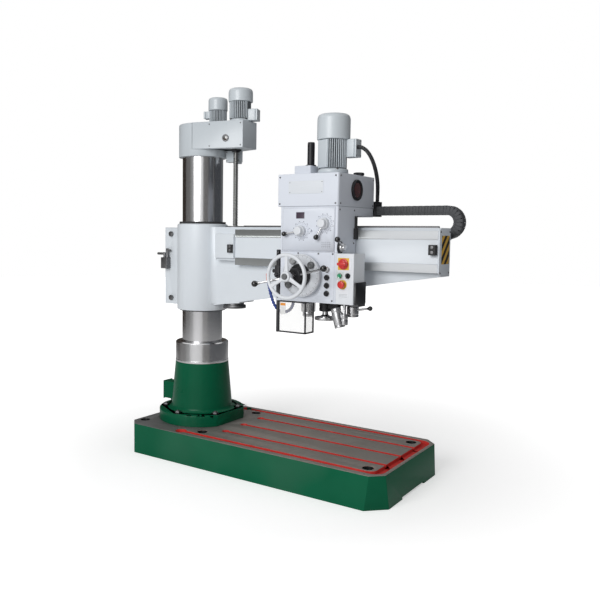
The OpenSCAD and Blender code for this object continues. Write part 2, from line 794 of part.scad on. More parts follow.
// Cable chain: upper run, bend and lower run
module energy_chain() {
    y1 = chain_y + chain_w;
    color([0.10, 0.10, 0.11]) difference() {
        translate([0, y1, 0]) rotate([90, 0, 0]) linear_extrude(chain_w) {
            translate([chain_x, chain_mid]) difference() {
                circle(chain_bend_r);
                circle(chain_in);
                translate([-2 * chain_bend_r, -chain_bend_r - 1])
                    square([2 * chain_bend_r, 2 * chain_bend_r + 2]);
            }
            translate([chain_x - chain_tail, chain_top - chain_t]) square([chain_tail, chain_t]);
            translate([chain_x - chain_lower_tail, chain_low])
                square([chain_lower_tail, chain_t]);
        }
        for (s = [0, 1]) {
            y = s == 0 ? chain_y - 1 : y1 - 2;
            for (x = [chain_x - chain_tail + chain_pitch:chain_pitch:chain_x])
                block(x - 1.5, x + 1.5, y, y + 3, chain_top - chain_t + 6, chain_top - 6);
            for (x = [chain_x - chain_lower_tail + chain_pitch:chain_pitch:chain_x])
                block(x - 1.5, x + 1.5, y, y + 3, chain_low + 6, chain_low + chain_t - 6);
            for (a = [24:26:156]) translate([chain_x, y, chain_mid]) rotate([0, a, 0])
                translate([-1.5, 0, chain_in + 6]) cube([3, 3, chain_t - 12]);
        }
    }
}

// Drill head casting
module head_casting() {
    back = -way_y - fit;
    color([0.84, 0.87, 0.90]) difference() {
        union() {
            round_block(head_x0, head_x1, -head_front, back, head_z, over_z, 8);
            round_block(head_x0, head_x1, -head_front, head_back, over_z, head_top, 8);
            // lug for the guard's hinge pin
            block(guard_x - 2, head_x0 + 1, guard_y - 8, guard_y + 16, head_z - 1.5, head_z + 18);
        }
        translate([guard_x + 10, guard_y + 4, head_z - 3]) cylinder(r = 6 + fit, h = 24);
        for (z = button_z) bar_y(button_x, z, button_d / 2 + fit, -head_front - 1, -head_front + 16);
        // quill bore and spindle passage
        translate([head_x, -spindle_y, head_z - 1]) {
            cylinder(r = quill_r + fit, h = quill_show + quill_len - 2 * quill_show + 9);
            cylinder(r = 30, h = head_h + 2);
        }
        // gear space open at the top
        round_block(head_x + 62, head_x1 - 22, -head_front + 26, back - 22, head_z + 50,
            head_top + 1, 10);
        // shaft bore of handwheel and capstan
        bar_y(wheel_x, wheel_z, 26 + fit, -head_front - 1, -head_front + 80);
    }
}

// Gib strips that hook behind the guide rail, and the plate of the lock lever
module gib_strips() {
    y1 = -way_y + lip_t + fit;
    color([0.45, 0.46, 0.47]) {
        end_profile([[-way_y - fit, rail_bottom - 24], [y1 + 18, rail_bottom - 24],
            [y1 + 18, rail_bottom + 20], [y1, rail_bottom + 20], [y1, rail_bottom - fit],
            [-way_y - fit, rail_bottom - fit]], head_x0 + 20, head_x1 - 20);
        end_profile([[y1, rail_top - 18], [y1 + 18, rail_top - 18], [y1 + 18, over_z],
            [-way_y - fit, over_z], [-way_y - fit, rail_top + fit], [y1, rail_top + fit]],
            head_x0 + 20, head_x1 - 20);
        // plate under the head that carries the lock lever
        block(head_x1 - 52, lock_x + 52, lock_y - 40, lock_y + 42, head_z - lock_plate_t, head_z);
    }
}

// Way wipers on both sides of the head
module way_wipers() {
    y1 = -way_y - fit;
    color([0.06, 0.06, 0.07]) {
        for (s = [0, 1]) {
            xa = s == 0 ? head_x0 - 12 : head_x1;
            block(xa, xa + 12, -way_y - 34, y1, rail_bottom - 8, rail_bottom + strip_h + 4);
            block(xa, xa + 12, -way_y - 34, y1, rail_top - strip_h - 4, rail_top + 10);
        }
        block(head_x1, head_x1 + 10, -way_y - 24, -way_y - 6, rail_top + 10, over_z);
    }
}

// Sheet cover over the gearing
module head_cover() {
    color([0.84, 0.87, 0.90]) difference() {
        union() {
            round_block(head_x0 - 19, head_x1 + 3, -head_front - 5, head_back + 3, head_top,
                cover_top, 12);
            block(head_x - 72, head_x + 30, -spindle_y - 54, -spindle_y + 56, cover_top,
                tube_foot);
            block(main_motor_x - 78, main_motor_x + 78, main_motor_y - 78, main_motor_y + 78,
                cover_top, cover_top + 12);
        }
        round_block(head_x0 - 15, head_x1 - 1, -head_front - 1, head_back - 1, head_top + 4,
            cover_top - 8, 8);
        round_block(head_x0 + 14, head_x1 - 14, -head_front + 14, head_back - 14, head_top - 1,
            head_top + 5, 8);
        translate([head_x, -spindle_y, cover_top - 20]) cylinder(r = 20, h = 80);
    }
}

// Tube over the splined spindle end
module spindle_tube() {
    color([0.10, 0.10, 0.11]) translate([head_x, -spindle_y, 0]) {
        difference() {
            disc(20, tube_foot, tube_top, 3);
            translate([0, 0, tube_foot - 1]) cylinder(r = 17, h = tube_top - tube_foot - 5);
        }
        tube(29, 19, tube_foot, tube_foot + 6);
    }
}

// Spindle motor on the cover
module spindle_motor() {
    color([0.70, 0.74, 0.77]) translate([main_motor_x, main_motor_y, cover_top + 12])
        motor(main_motor_d, main_motor_h, 0.42, 0, 66, 64, 96, 83, 26);
}

// Conduit from the spindle motor to the cable chain
module motor_conduit() {
    color([0.07, 0.07, 0.08]) ribbed_hose(conduit_path, conduit_d, 3, conduit_ribs);
}

// Bracket and tray on the head's back that hold the upper chain run
module chain_bracket() {
    z0 = chain_top - chain_t;
    y1 = chain_y + chain_w;
    color([0.08, 0.08, 0.09]) {
        end_profile([[head_back, z0 - 4], [y1 + 5, z0 - 4], [y1 + 5, z0 + 14],
            [y1 + 2, z0 + 14], [y1 + 2, z0 - fit], [head_back + 3, z0 - fit],
            [head_back + 3, z0 + 30], [head_back, z0 + 30]], head_x0 + 20, bracket_x - 40);
        difference() {
            union() {
                block(bracket_x - 42, head_x1, head_back, y1 + 8, z0 - 6, head_top);
                block(bracket_x - 42, bracket_x, head_back + 3, y1 + 8, z0 - 6, chain_top + 26);
            }
            block(bracket_x - 43, bracket_x + 1, chain_y - 2, y1 + 2, z0 - fit, chain_top + 2);
        }
    }
}

// Bare name plate on the cover
module name_plate() {
    color([0.75, 0.77, 0.79]) block(head_x - 43, head_x + 170, -head_front - 6.5,
        -head_front - 5, head_top + 66, head_top + 134);
}

// Front panel with display window
module front_panel() {
    color([0.84, 0.86, 0.90]) {
        difference() {
            block(head_x0 + 14, head_x1 - 16, panel_y, -head_front, head_z + 272, head_top - 6);
            block(head_x + 4, head_x + 58, panel_y - 1, panel_y + 2, head_top - 66, head_top - 30);
        }
        block(head_x + 5, head_x + 57, panel_y + 0.5, panel_y + 2, head_top - 65, head_top - 31);
        for (i = [0, 1])
            bar_y(dial_x[i], dial_z[i], 38, panel_y - 4, panel_y);
        bar_y(head_x + 99, head_z + 383, 7, panel_y - 12, panel_y);
    }
}

// Round sight window on the cover's side
module sight_window() {
    color([0.05, 0.05, 0.06]) {
        difference() {
            bar_x(-140, head_top + 90, 56, head_x1 + 3, head_x1 + 17);
            bar_x(-140, head_top + 90, 44, head_x1 + 9, head_x1 + 18);
        }
        bar_x(-140, head_top + 90, 44, head_x1 + 9, head_x1 + 11);
    }
}

// Oil filler cap on the cover
module filler_cap() {
    color([0.05, 0.05, 0.06]) translate([head_x1 - 34, -40, 0]) {
        disc(30, cover_top, cover_top + 14, 3);
        translate([0, 0, cover_top + 14]) cylinder(r = 9, h = 8);
    }
}

// Switch box on the head's right side
module switch_box() {
    xa = head_x1;
    color([0.84, 0.87, 0.90]) {
        difference() {
            union() {
                round_block(xa, box_x1, -box_front, -box_front + box_d, box_z, box_z + box_h, 3);
                block(xa + 4, xa + 90, -box_front - 1.5, -box_front, box_z + box_h - 84,
                    box_z + box_h - 22);
                block(xa + 4, xa + 44, -box_front - 1.5, -box_front, box_z + 128, box_z + 168);
                block(xa + 8, xa + 78, -box_front - 1.5, -box_front, box_z + 76, box_z + 126);
                block(xa + 14, xa + 76, -box_front - 1.2, -box_front, box_z + 30, box_z + 63);
            }
            block(xa - 1, box_x1 - 4, -box_front + 4, -box_front + box_d - 4, box_z + 4,
                box_z + box_h - 4);
            bar_y(xa + 24, box_z + 148, 11 + fit, -box_front - 3, -box_front + 6);
            bar_y(xa + 40, box_z + 103, 11 + fit, -box_front - 3, -box_front + 6);
        }
        // connector cover on the side
        block(box_x1, box_x1 + 10, -box_front + 9, -box_front + box_d, box_z + 1, box_z + 114);
    }
}

// Work lamp under the head: bracket, tilted lamp tube and its swivel
module work_lamp() {
    lamp_tilt = 164;
    color([0.20, 0.20, 0.21]) translate([lamp_x, lamp_y, 0]) {
        block(-34, 24, -16, 22, head_z - 34, head_z);
        translate([0, 0, head_z - 20]) rotate([0, lamp_tilt, 0]) {
            translate([0, 0, 8]) cylinder(r = 28, h = 104);
            translate([0, 0, 106]) tube(28, 23, 0, 12);
        }
        translate([52, 8, head_z - 118]) cylinder(r = 20, h = 58);
        translate([52, 8, head_z - 62]) cylinder(r = 9, h = 62);
    }
}

// Jointed coolant hose
module coolant_hose() {
    color([0.10, 0.25, 0.75]) ribbed_hose(hose_path, hose_d, 5, hose_ribs);
}

// Coolant nozzle on the hose's end
module coolant_nozzle() {
    p = hose_path[len(hose_path) - 1];
    d = p - hose_path[len(hose_path) - 2];
    color([0.90, 0.25, 0.10]) translate(p) rotate([0, atan2(d[0], d[2]), 0]) {
        difference() {
            union() {
                cylinder(r = hose_d / 2 + 1, h = 14);
                translate([0, 0, 14]) cylinder(r1 = hose_d / 2 - 1, r2 = 4.5, h = 34);
            }
            translate([0, 0, -1]) cylinder(r = 2.5, h = 60);
        }
    }
}

// Dial knob with its shift lever; turn is the lever's direction
module dial(x, z, turn, reach, grip) {
    translate([x, panel_y - 4, z]) rotate([90, 0, 0]) {
        cylinder(r = 30, h = 10);
        translate([0, 0, 10]) cylinder(r1 = 24, r2 = 22, h = 32);
        rotate([0, 0, turn]) translate([0, 0, 28]) rotate([0, 90, 0]) {
            cylinder(r = 5, h = reach);
            translate([0, 0, reach - 14]) cylinder(r = 8, h = grip);
            translate([0, 0, reach - 14 + grip]) sphere(r = 11, $fn = 32);
        }
    }
}

// Speed dial at the right
module speed_dial() {
    color([0.80, 0.82, 0.84]) dial(dial_x[1], dial_z[1], 242, 78, 16);
}

// Feed dial at the left
module feed_dial() {
    color([0.80, 0.82, 0.84]) dial(dial_x[0], dial_z[0], 190, 96, 24);
}

// Reversing lever on the head's right side
module side_lever() {
    color([0.45, 0.46, 0.47]) {
        bar_x(-300, lever_z, 22, head_x1, head_x1 + 30);
        translate([head_x1 + 20, -300, lever_z]) rotate([58, 0, 0]) {
            cylinder(r = 6, h = 76);
            translate([0, 0, 80]) sphere(r = 15, $fn = 32);
        }
    }
}

// Traverse handwheel with three spokes
module traverse_wheel() {
    rim = 11;
    r = wheel_d / 2 - rim;
    y = -head_front - wheel_out;
    color([0.85, 0.87, 0.89]) translate([wheel_x, y, wheel_z]) rotate([90, 0, 0]) {
        rotate_extrude() translate([r, 0]) circle(rim);
        for (a = [90, 210, 330]) rotate([0, 0, a]) translate([10, -10, -6]) cube([r - 12, 20, 12]);
        translate([0, 0, -14]) cylinder(r = 27, h = 30);
        translate([0, 0, 16]) cylinder(r = 15, h = 10);
        translate([0, 0, -wheel_out - 40]) cylinder(r = 15, h = wheel_out + 30);
    }
}

// Capstan hub with its graduated disc
module capstan_hub() {
    color([0.20, 0.20, 0.21]) difference() {
        translate([wheel_x, -head_front - 8, wheel_z]) rotate([90, 0, 0]) {
            cylinder(r = dial_d / 2, h = 24);
            translate([0, 0, 24]) cylinder(r = 62, h = 22);
            translate([0, 0, 46]) cylinder(r = 40, h = 46);
            translate([0, 0, -70]) cylinder(r = 26, h = 71);
            for (a = [40, 120, 216]) rotate([0, 0, a]) translate([88, 0, 24]) {
                cylinder(r = 20, h = 18);
            }
        }
        bar_y(wheel_x, wheel_z, 15 + fit, -head_front - 120, -head_front + 100);
        // sockets of the levers
        translate([wheel_x, -head_front - 76, wheel_z])
            for (a = [0, 180]) rotate([0, -13 + a, 0]) rotate([0, 0, -20]) rotate([0, 90, 0])
                translate([0, 0, 25.9]) cylinder(r = 7, h = 40);
    }
}

// Two capstan levers with ball knobs
module capstan_levers() {
    color([0.62, 0.63, 0.64]) translate([wheel_x, -head_front - 76, wheel_z])
        for (a = [0, 180]) rotate([0, -13 + a, 0]) rotate([0, 0, -20]) rotate([0, 90, 0]) {
            translate([0, 0, 26]) cylinder(r = 7, h = lever_len - 26);
            translate([0, 0, lever_len + 10]) sphere(d = ball_d, $fn = 32);
            translate([0, 0, lever_len - 16]) cylinder(r1 = 9, r2 = 14, h = 20);
        }
}

// Push button on the front
module push(x, z, d, y, h) {
    bar_y(x, z, d / 2, y - h, y + 10);
}

module button_1() {
    color([0.62, 0.63, 0.64]) push(button_x, button_z[0], button_d, -head_front, 14);
}

module button_2() {
    color([0.06, 0.06, 0.07]) push(button_x, button_z[1], button_d, -head_front, 12);
}

module button_3() {
    color([0.06, 0.06, 0.07]) push(button_x, button_z[2], button_d, -head_front, 12);
}

module button_4() {
    color([0.06, 0.06, 0.07]) push(button_x, button_z[3], button_d, -head_front, 12);
}

// Rotary main switch
module main_switch() {
    y = -box_front - 1.5;
    color([0.80, 0.10, 0.08]) translate([head_x1 + 44, y, box_z + box_h - 53]) rotate([90, 0, 0]) {
        cylinder(r = 28, h = 8);
        translate([0, 0, 8]) cylinder(r = 20, h = 10);
        translate([-26, -7, 8]) cube([52, 14, 20]);
    }
}

// Green start button
module start_button() {
    color([0.05, 0.45, 0.20]) push(head_x1 + 24, box_z + 148, 22, -box_front - 1.5, 10);
}

// Black selector switch
module selector() {
    color([0.05, 0.05, 0.06])
        translate([head_x1 + 70, -box_front, box_z + 149]) rotate([90, 0, 0]) {
            cylinder(r = 14, h = 6);
            translate([-4, -13, 6]) cube([8, 26, 12]);
        }
}

// Mushroom stop button
module stop_button() {
    color([0.80, 0.10, 0.08])
        translate([head_x1 + 40, -box_front - 1.5, box_z + 103]) rotate([90, 0, 0]) {
            translate([0, 0, -12]) cylinder(r = 11, h = 28);
            translate([0, 0, 14]) cylinder(r1 = 20, r2 = 17, h = 10);
        }
}

// Quill
module quill() {
    color([0.70, 0.71, 0.72]) translate([head_x, -spindle_y, 0])
        tube(quill_r, 26 + fit, quill_bottom, quill_top);
}

// Spindle with its taper socket
module spindle() {
    color([0.66, 0.67, 0.68]) translate([head_x, -spindle_y, 0]) difference() {
        union() {
            translate([0, 0, nose_z]) cylinder(d = nose_d, h = quill_bottom - nose_z - fit);
            translate([0, 0, nose_z + 5]) cylinder(r = 26, h = quill_len + 20);
            translate([0, 0, quill_top - 10]) cylinder(r = 16, h = tube_top - quill_top - 10);
        }
        translate([0, 0, nose_z - 0.01])
            cylinder(d1 = taper_d, d2 = taper_d - taper_depth * 0.05194, h = taper_depth);
        block(-40, 40, -6, 6, nose_z + taper_depth - 12, nose_z + taper_depth + 26);
    }
}

// Fine feed wheel under the head: hub, neck and rim
module fine_feed_wheel() {
    rim_z = head_z - 103;
    r = fine_wheel_d / 2;
    color([0.70, 0.71, 0.72]) translate([fine_x, fine_y, 0]) {
        difference() {
            translate([0, 0, rim_z]) cylinder(r = r, h = 18);
            translate([0, 0, rim_z - 1]) tube(r - 12, 26, 0, 8);
            translate([0, 0, rim_z + 11]) tube(r - 10, 30, 0, 8);
        }
        translate([0, 0, rim_z + 17]) cylinder(r1 = 30, r2 = 16, h = 14);
        translate([0, 0, rim_z + 30]) cylinder(r = 16, h = 20);
        translate([0, 0, head_z - 55]) cylinder(r = 34, h = 52);
        translate([0, 0, head_z - 4]) cylinder(r = 20, h = 4);
    }
}

// Lever that locks the head on the arm
module lock_lever() {
    color([0.68, 0.69, 0.70]) translate([lock_x, lock_y, head_z - lock_plate_t]) {
        translate([0, 0, -59]) cylinder(r = 32, h = 55);
        translate([0, 0, -5]) cylinder(r = 22, h = 5);
        translate([0, 0, -25]) rotate([0, 80, 0]) {
            cylinder(r = 6, h = 98);
            translate([0, 0, 104]) sphere(r = 13, $fn = 32);
        }
    }
}

// Rail on the head's left side, with the clamp that holds the guard's height
module guard_rail() {
    xa = guard_x + 1;
    xb = guard_x + 19;
    ya = guard_y - 5;
    yb = guard_y + 13;
    z0 = head_z + 18;
    color([0.07, 0.07, 0.08]) {
        block(xa, xb, ya, yb, z0, z0 + rail_up);
        for (z = [z0 + 22, z0 + rail_up - 42])
            block(xb - 1, head_x0, ya + 1, yb - 1, z, z + 20);
        // clamp block with its two knobs
        block(xa - 6, xb + 5, ya - 7, yb + 5, z0 + 106, z0 + 172);
        bar_x(guard_y + 4, z0 + 140, 11, xa - 26, xa - 5);
        bar_y((xa + xb) / 2, z0 + 122, 9, ya - 24, ya - 6);
    }
}

// Frame of the chip guard
module guard_frame() {
    t = 8;
    xa = guard_x;
    xb = guard_x + guard_w;
    ya = guard_y;
    yb = guard_y + guard_d;
    z1 = guard_z + guard_h;
    color([0.12, 0.12, 0.13]) {
        difference() {
            union() {
                block(xa, xb, ya, ya + t, guard_z, z1);
                block(xb - t, xb, ya, yb, guard_z, z1);
            }
            block(xa + 20, xb - t, ya - 1, ya + t + 1, guard_z + 8, z1 - 8);
            block(xb - t - 1, xb + 1, ya + t, yb - t, guard_z + 8, z1 - 8);
        }
        translate([xa + 10, ya + 4, guard_z]) cylinder(r = 10, h = guard_h);
        translate([xa + 10, ya + 4, guard_z + guard_h]) cylinder(r = 6, h = 18);
    }
}

// Clear panels of the chip guard
module guard_panels() {
    t = 8;
    color([0.85, 0.88, 0.90, 0.4]) {
        block(guard_x + 20, guard_x + guard_w - t, guard_y + 2.5, guard_y + 5.5, guard_z + 8,
            guard_z + guard_h - 8);
        block(guard_x + guard_w - 5.5, guard_x + guard_w - 2.5, guard_y + t,
            guard_y + guard_d - t, guard_z + 8, guard_z + guard_h - 8);
    }
}

base_casting();
column_foot();
foot_bolts();
inner_column();
clamp_collar();
power_box();
outer_column();
column_head();
screw_bearing();
limit_box();
oil_sight();
lift_motor();
pump_motor();
lift_screw();
arm_casting();
arm_seals();
lift_nut();
sleeve_clamp();
traverse_rack();
end_plate();
travel_stops();
chain_trough();
energy_chain();
head_casting();
gib_strips();
way_wipers();
head_cover();
spindle_tube();
spindle_motor();
motor_conduit();
chain_bracket();
name_plate();
front_panel();
sight_window();
filler_cap();
switch_box();
work_lamp();
coolant_hose();
coolant_nozzle();
speed_dial();
feed_dial();
side_lever();
traverse_wheel();
capstan_hub();
capstan_levers();
button_1();
button_2();
button_3();
button_4();
main_switch();
start_button();
selector();
stop_button();
quill();
spindle();
fine_feed_wheel();
lock_lever();
guard_rail();
guard_frame();
guard_panels();
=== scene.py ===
import json
import math

import bmesh
import bpy
import numpy as np
from mathutils import Matrix, Vector

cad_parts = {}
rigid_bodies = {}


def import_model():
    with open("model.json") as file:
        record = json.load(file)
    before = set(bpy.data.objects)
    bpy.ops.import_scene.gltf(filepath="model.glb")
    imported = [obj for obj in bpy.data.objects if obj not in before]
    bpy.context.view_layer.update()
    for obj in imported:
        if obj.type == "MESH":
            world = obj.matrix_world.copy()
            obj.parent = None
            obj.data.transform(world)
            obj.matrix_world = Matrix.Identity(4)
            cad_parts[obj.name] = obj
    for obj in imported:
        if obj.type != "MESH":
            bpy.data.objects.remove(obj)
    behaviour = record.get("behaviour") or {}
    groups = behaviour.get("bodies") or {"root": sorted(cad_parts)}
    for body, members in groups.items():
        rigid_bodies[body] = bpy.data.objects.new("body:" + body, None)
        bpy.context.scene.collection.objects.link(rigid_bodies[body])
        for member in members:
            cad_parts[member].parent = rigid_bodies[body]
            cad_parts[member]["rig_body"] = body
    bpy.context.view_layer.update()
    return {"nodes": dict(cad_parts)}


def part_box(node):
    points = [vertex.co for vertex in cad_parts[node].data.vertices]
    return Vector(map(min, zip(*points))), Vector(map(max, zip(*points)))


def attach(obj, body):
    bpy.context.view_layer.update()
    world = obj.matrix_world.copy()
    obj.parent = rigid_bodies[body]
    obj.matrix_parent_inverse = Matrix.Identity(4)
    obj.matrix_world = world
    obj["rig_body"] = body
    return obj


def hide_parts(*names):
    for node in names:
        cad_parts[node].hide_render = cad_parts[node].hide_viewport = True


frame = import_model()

scene = bpy.context.scene
scene.view_settings.view_transform = "Standard"

# The camera stands to the right of the operator, a little below the arm's top edge,
# and looks slightly down at the column. The photograph is square.
turn, tilt, roll = np.radians((34.616, 4.997, -0.683))
forward = Vector((-math.sin(turn) * math.cos(tilt), math.cos(turn) * math.cos(tilt), -math.sin(tilt)))
level = Vector((math.cos(turn), math.sin(turn), 0))
down = forward.cross(level)
across = level * math.cos(roll) + down * math.sin(roll)
upward = level * math.sin(roll) - down * math.cos(roll)
view = bpy.data.cameras.new("view")
view.sensor_width = 36
view.lens = 36 * 698.25 / 600
view.shift_x = (300 - 262.44) / 600
view.shift_y = (295.67 - 300) / 600
view.clip_end = 60
camera = bpy.data.objects.new("view", view)
camera.matrix_world = Matrix((
    (across.x, upward.x, -forward.x, 2.91044), (across.y, upward.y, -forward.y, -3.52489),
    (across.z, upward.z, -forward.z, 1.38563), (0, 0, 0, 1)))
scene.collection.objects.link(camera)
scene.camera = camera

# Coolant hose: a chain of blue snap-together joints, 19 mm across, that stands by its own stiffness.
# It screws into the underside of the head and rises beside it to an orange nozzle.


class Value:
    """A socket of a node tree. Sums on it become Math nodes."""

    def __init__(self, finish, socket):
        self.finish = finish
        self.socket = socket

    def maths(self, operation, *others):
        return self.finish.node("Math", {"operation": operation}, [self, *others])

    def __add__(self, other):
        return self.maths("ADD", other)

    def __mul__(self, other):
        return self.maths("MULTIPLY", other)

    def __sub__(self, other):
        return self.maths("SUBTRACT", other)

    def __rsub__(self, other):
        return self.finish.node("Math", {"operation": "SUBTRACT"}, [other, self])

    def __gt__(self, other):
        return self.maths("GREATER_THAN", other)

    def __lt__(self, other):
        return self.maths("LESS_THAN", other)

    def between(self, low, high):
        """1 where the value lies from low to high, and 0 elsewhere."""
        return (self > low) * (self < high)

    def ramp(self, low, high):
        """0 below low, 1 above high, and a straight rise between them."""
        return self.finish.node("MapRange", {}, [self, low, high, 0.0, 1.0])

    def stripes(self, count, low, high):
        """1 in the part from low to high of each stripe, with count stripes to one unit."""
        return (self * count).maths("FRACT").between(low, high)

    __radd__ = __add__
    __rmul__ = __mul__


class Finish:
    """A surface finish: a Principled shader whose inputs are set by name."""

    def __init__(self, name, slot=None, **constants):
        self.slot = slot or name
        self.material = bpy.data.materials.new(name)
        self.material.use_nodes = True
        self.tree = self.material.node_tree
        self.shader = self.tree.nodes["Principled BSDF"]
        for key, value in constants.items():
            self.shader.inputs[key.replace("_", " ").title().replace("Ior", "IOR")].default_value = value
        self.place = self.node("TexCoord", output="Object")

    def node(self, kind, settings=None, links=(), output=0):
        """Any other node: its settings first, then the values or links of its sockets in order."""
        made = self.tree.nodes.new("ShaderNode" + kind)
        for key, value in (settings or {}).items():
            setattr(made, key, value)
        places = links.items() if isinstance(links, dict) else enumerate(links)
        for key, value in places:
            self.feed(made.inputs[key], value)
        return Value(self, made.outputs[output])

    def feed(self, socket, value):
        if isinstance(value, Value):
            self.tree.links.new(value.socket, socket)
        elif value is not None:
            colour = socket.type == "RGBA" and len(value) == 3
            socket.default_value = (*value, 1) if colour else value

    def axis(self, letter):
        """One coordinate of the place on the object, in metres."""
        if not hasattr(self, "axes"):
            self.axes = self.tree.nodes.new("ShaderNodeSeparateXYZ")
            self.feed(self.axes.inputs[0], self.place)
        return Value(self, self.axes.outputs["XYZ".index(letter)])

    def noise(self, scale, detail=3.0, stretch=(1, 1, 1), roughness=0.55):
        """Cloudy noise from 0 to 1, drawn out along an axis where stretch is small."""
        drawn = self.node("VectorMath", {"operation": "MULTIPLY"}, [self.place, stretch])
        return self.node("TexNoise", {}, {"Vector": drawn, "Scale": scale, "Detail": detail,
                                          "Roughness": roughness}, "Fac")

    def mix(self, share, first, second):
        """first where share is 0, second where it is 1."""
        return self.node("Mix", {"data_type": "RGBA"}, {0: share, 6: first, 7: second}, 2)

    def bump(self, height, distance):
        made = self.node("Bump", {}, {"Height": height, "Distance": distance, "Strength": 1.0})
        self.feed(self.shader.inputs["Normal"], made)

    def surface(self, **inputs):
        for key, value in inputs.items():
            self.feed(self.shader.inputs[key.replace("_", " ").title()], value)
        return self


def mottled(name, scale, detail, dark, light, gloss=None, stretch=(1, 1, 1), bump=0.0, **more):
    """A material whose tone follows one cloudy noise, and so does its roughness where gloss gives
    the lowest roughness and the swing."""
    made = Finish(name, **more)
    cloud = made.noise(scale, detail, stretch)
    made.surface(base_color=made.mix(cloud, dark, light))
    if gloss:
        made.surface(roughness=cloud * gloss[1] + gloss[0])
    if bump:
        made.bump(cloud, bump)
    return made


def piece(name, form, finish, body, stands_for=None, smooth=35.0):
    """A mesh piece from a form, which is an array of points and rows of point numbers. Doubles are
    merged, and it's smooth where two faces meet at less than smooth degrees."""
    points, faces = form
    mesh = bpy.data.meshes.new(name)
    mesh.from_pydata(np.asarray(points, float).tolist(), [], [list(map(int, f)) for f in faces])
    work = bmesh.new()
    work.from_mesh(mesh)
    bmesh.ops.remove_doubles(work, verts=work.verts, dist=1e-6)
    bmesh.ops.recalc_face_normals(work, faces=work.faces)
    work.to_mesh(mesh)
    work.free()
    mesh.shade_smooth()
    mesh.set_sharp_from_angle(angle=math.radians(smooth))
    mesh.materials.append(finish.material)
    made = bpy.data.objects.new(name, mesh)
    scene.collection.objects.link(made)
    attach(made, body)
    if stands_for:
        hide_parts(stands_for)
    return made


def grid_faces(rows, columns, closed=True):
    """Quads of a grid of points that lie row by row; a closed grid's last column meets its first."""
    r, c = np.meshgrid(np.arange(rows - 1), np.arange(columns if closed else columns - 1), indexing="ij")
    a, b = (r * columns + c).ravel(), (r * columns + (c + 1) % columns).ravel()
    return np.stack([a, b, b + columns, a + columns], 1)


def smooth_path(points, steps):
    """Catmull-Rom curve through the points: each span is the cubic whose slope at a point is half
    the way from its neighbour before to its neighbour after."""
    p = np.asarray(points, float)
    t = np.linspace(0, len(p) - 1, steps + 1)
    i = np.minimum(t.astype(int), len(p) - 2)
    u = (t - i)[:, None]
    a, b, c, d = p[np.maximum(i - 1, 0)], p[i], p[i + 1], p[np.minimum(i + 2, len(p) - 1)]
    return (b + u * (c - a) / 2 + u ** 2 * (a - 2.5 * b + 2 * c - d / 2)
            + u ** 3 * (1.5 * (b - c) + (d - a) / 2))


def swept(path, radius, sides=16):
    """Tube along a path: a ring of the given radius round each point, square to the path there."""
    path = np.asarray(path, float)
    along = np.gradient(path, axis=0)
    along /= np.linalg.norm(along, axis=1)[:, None]
    side = np.cross(along, (0.3, 1, 0.2))
    side /= np.linalg.norm(side, axis=1)[:, None]
    over = np.cross(along, side)
    a = np.linspace(0, 2 * math.pi, sides, endpoint=False)
    r = np.broadcast_to(np.asarray(radius, float), len(path))[:, None, None]
    ring = side[:, None] * np.cos(a)[None, :, None] + over[:, None] * np.sin(a)[None, :, None]
    points = (path[:, None] + r * ring).reshape(-1, 3)
    faces = grid_faces(len(path), sides).tolist()
    faces += [list(range(sides)), list(range(len(points) - sides, len(points)))]
    return points, faces


head_right, head_under, cover_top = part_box("head_casting")[1].x, 1.029, 1.710
hose_x = head_right - 0.257 - 0.057
hose_route = [(0, 0), (0, -10), (0, -20), (-9, -44), (-32, -66), (-66, -74), (-100, -64), (-126, -36),
              (-144, 2), (-157, 42), (-163, 66), (-169, 90)]
hose_points = np.array([(hose_x + x / 1000, -0.250, head_under + z / 1000) for x, z in hose_route])
hose_joints = 26
steps = hose_joints * 8
hose_line = smooth_path(hose_points, steps)
beat = (np.arange(steps + 1) % 8) / 8
bead = np.where(beat < 0.55, 0.00950 - 0.0012 * np.abs(beat / 0.55 - 0.5), 0.00680)
blue = mottled("blue_plastic", 60, 3, (0.012, 0.035, 0.21), (0.022, 0.065, 0.32), bump=0.0002,
               roughness=0.32, coat_weight=0.2)
hose = piece("hose_joints", swept(hose_line, bead, 20), blue, "head", "coolant_hose", 50)
orange = mottled("orange_plastic", 80, 3, (0.72, 0.10, 0.04), (0.80, 0.16, 0.07), bump=0.0001,
                 roughness=0.35)
tip = Vector(hose_points[-1])
lean = (tip - Vector(hose_points[-2])).normalized()
nozzle_line = [tip + lean * s for s in (0, 0.001, 0.012, 0.013, 0.016, 0.030, 0.047, 0.048)]
nozzle_radii = [0.0095, 0.0105, 0.0105, 0.0092, 0.0085, 0.0065, 0.0046, 0.0040]
nozzle = piece("hose_nozzle", swept(nozzle_line, nozzle_radii, 24), orange, "head", "coolant_nozzle", 30)


# Motor conduit: black ribbed hose, 22 mm across, from the spindle motor's terminal box
# down behind the cover to the bracket of the cable chain.
conduit_route = [(0.5, -130, 0), (10.3, -130, 0), (27.3, -127.3, -4.3), (46.4, -117.8, -19.1),
                 (58.7, -103.2, -40.2), (65.3, -85.2, -64.4), (67.3, -64.7, -89.1),
                 (65.4, -42.3, -112.8), (60.5, -18.4, -134.7), (53.2, 6.6, -154.6),
                 (44.1, 32.2, -172.9), (33.8, 57.7, -190.4), (23.3, 81.6, -208.3),
                 (13.8, 102, -227.8), (7, 116, -250.7), (5, 120, -268.6), (5, 120, -278.4)]
conduit_start = np.array((head_right, 0, cover_top + 0.147))
conduit_points = conduit_start + np.array(conduit_route) / 1000
ribs = 60
steps = ribs * 6
conduit_line = smooth_path(conduit_points, steps)
conduit_radius = 0.0102 + 0.0008 * np.cos(np.arange(steps + 1) * math.pi / 3)
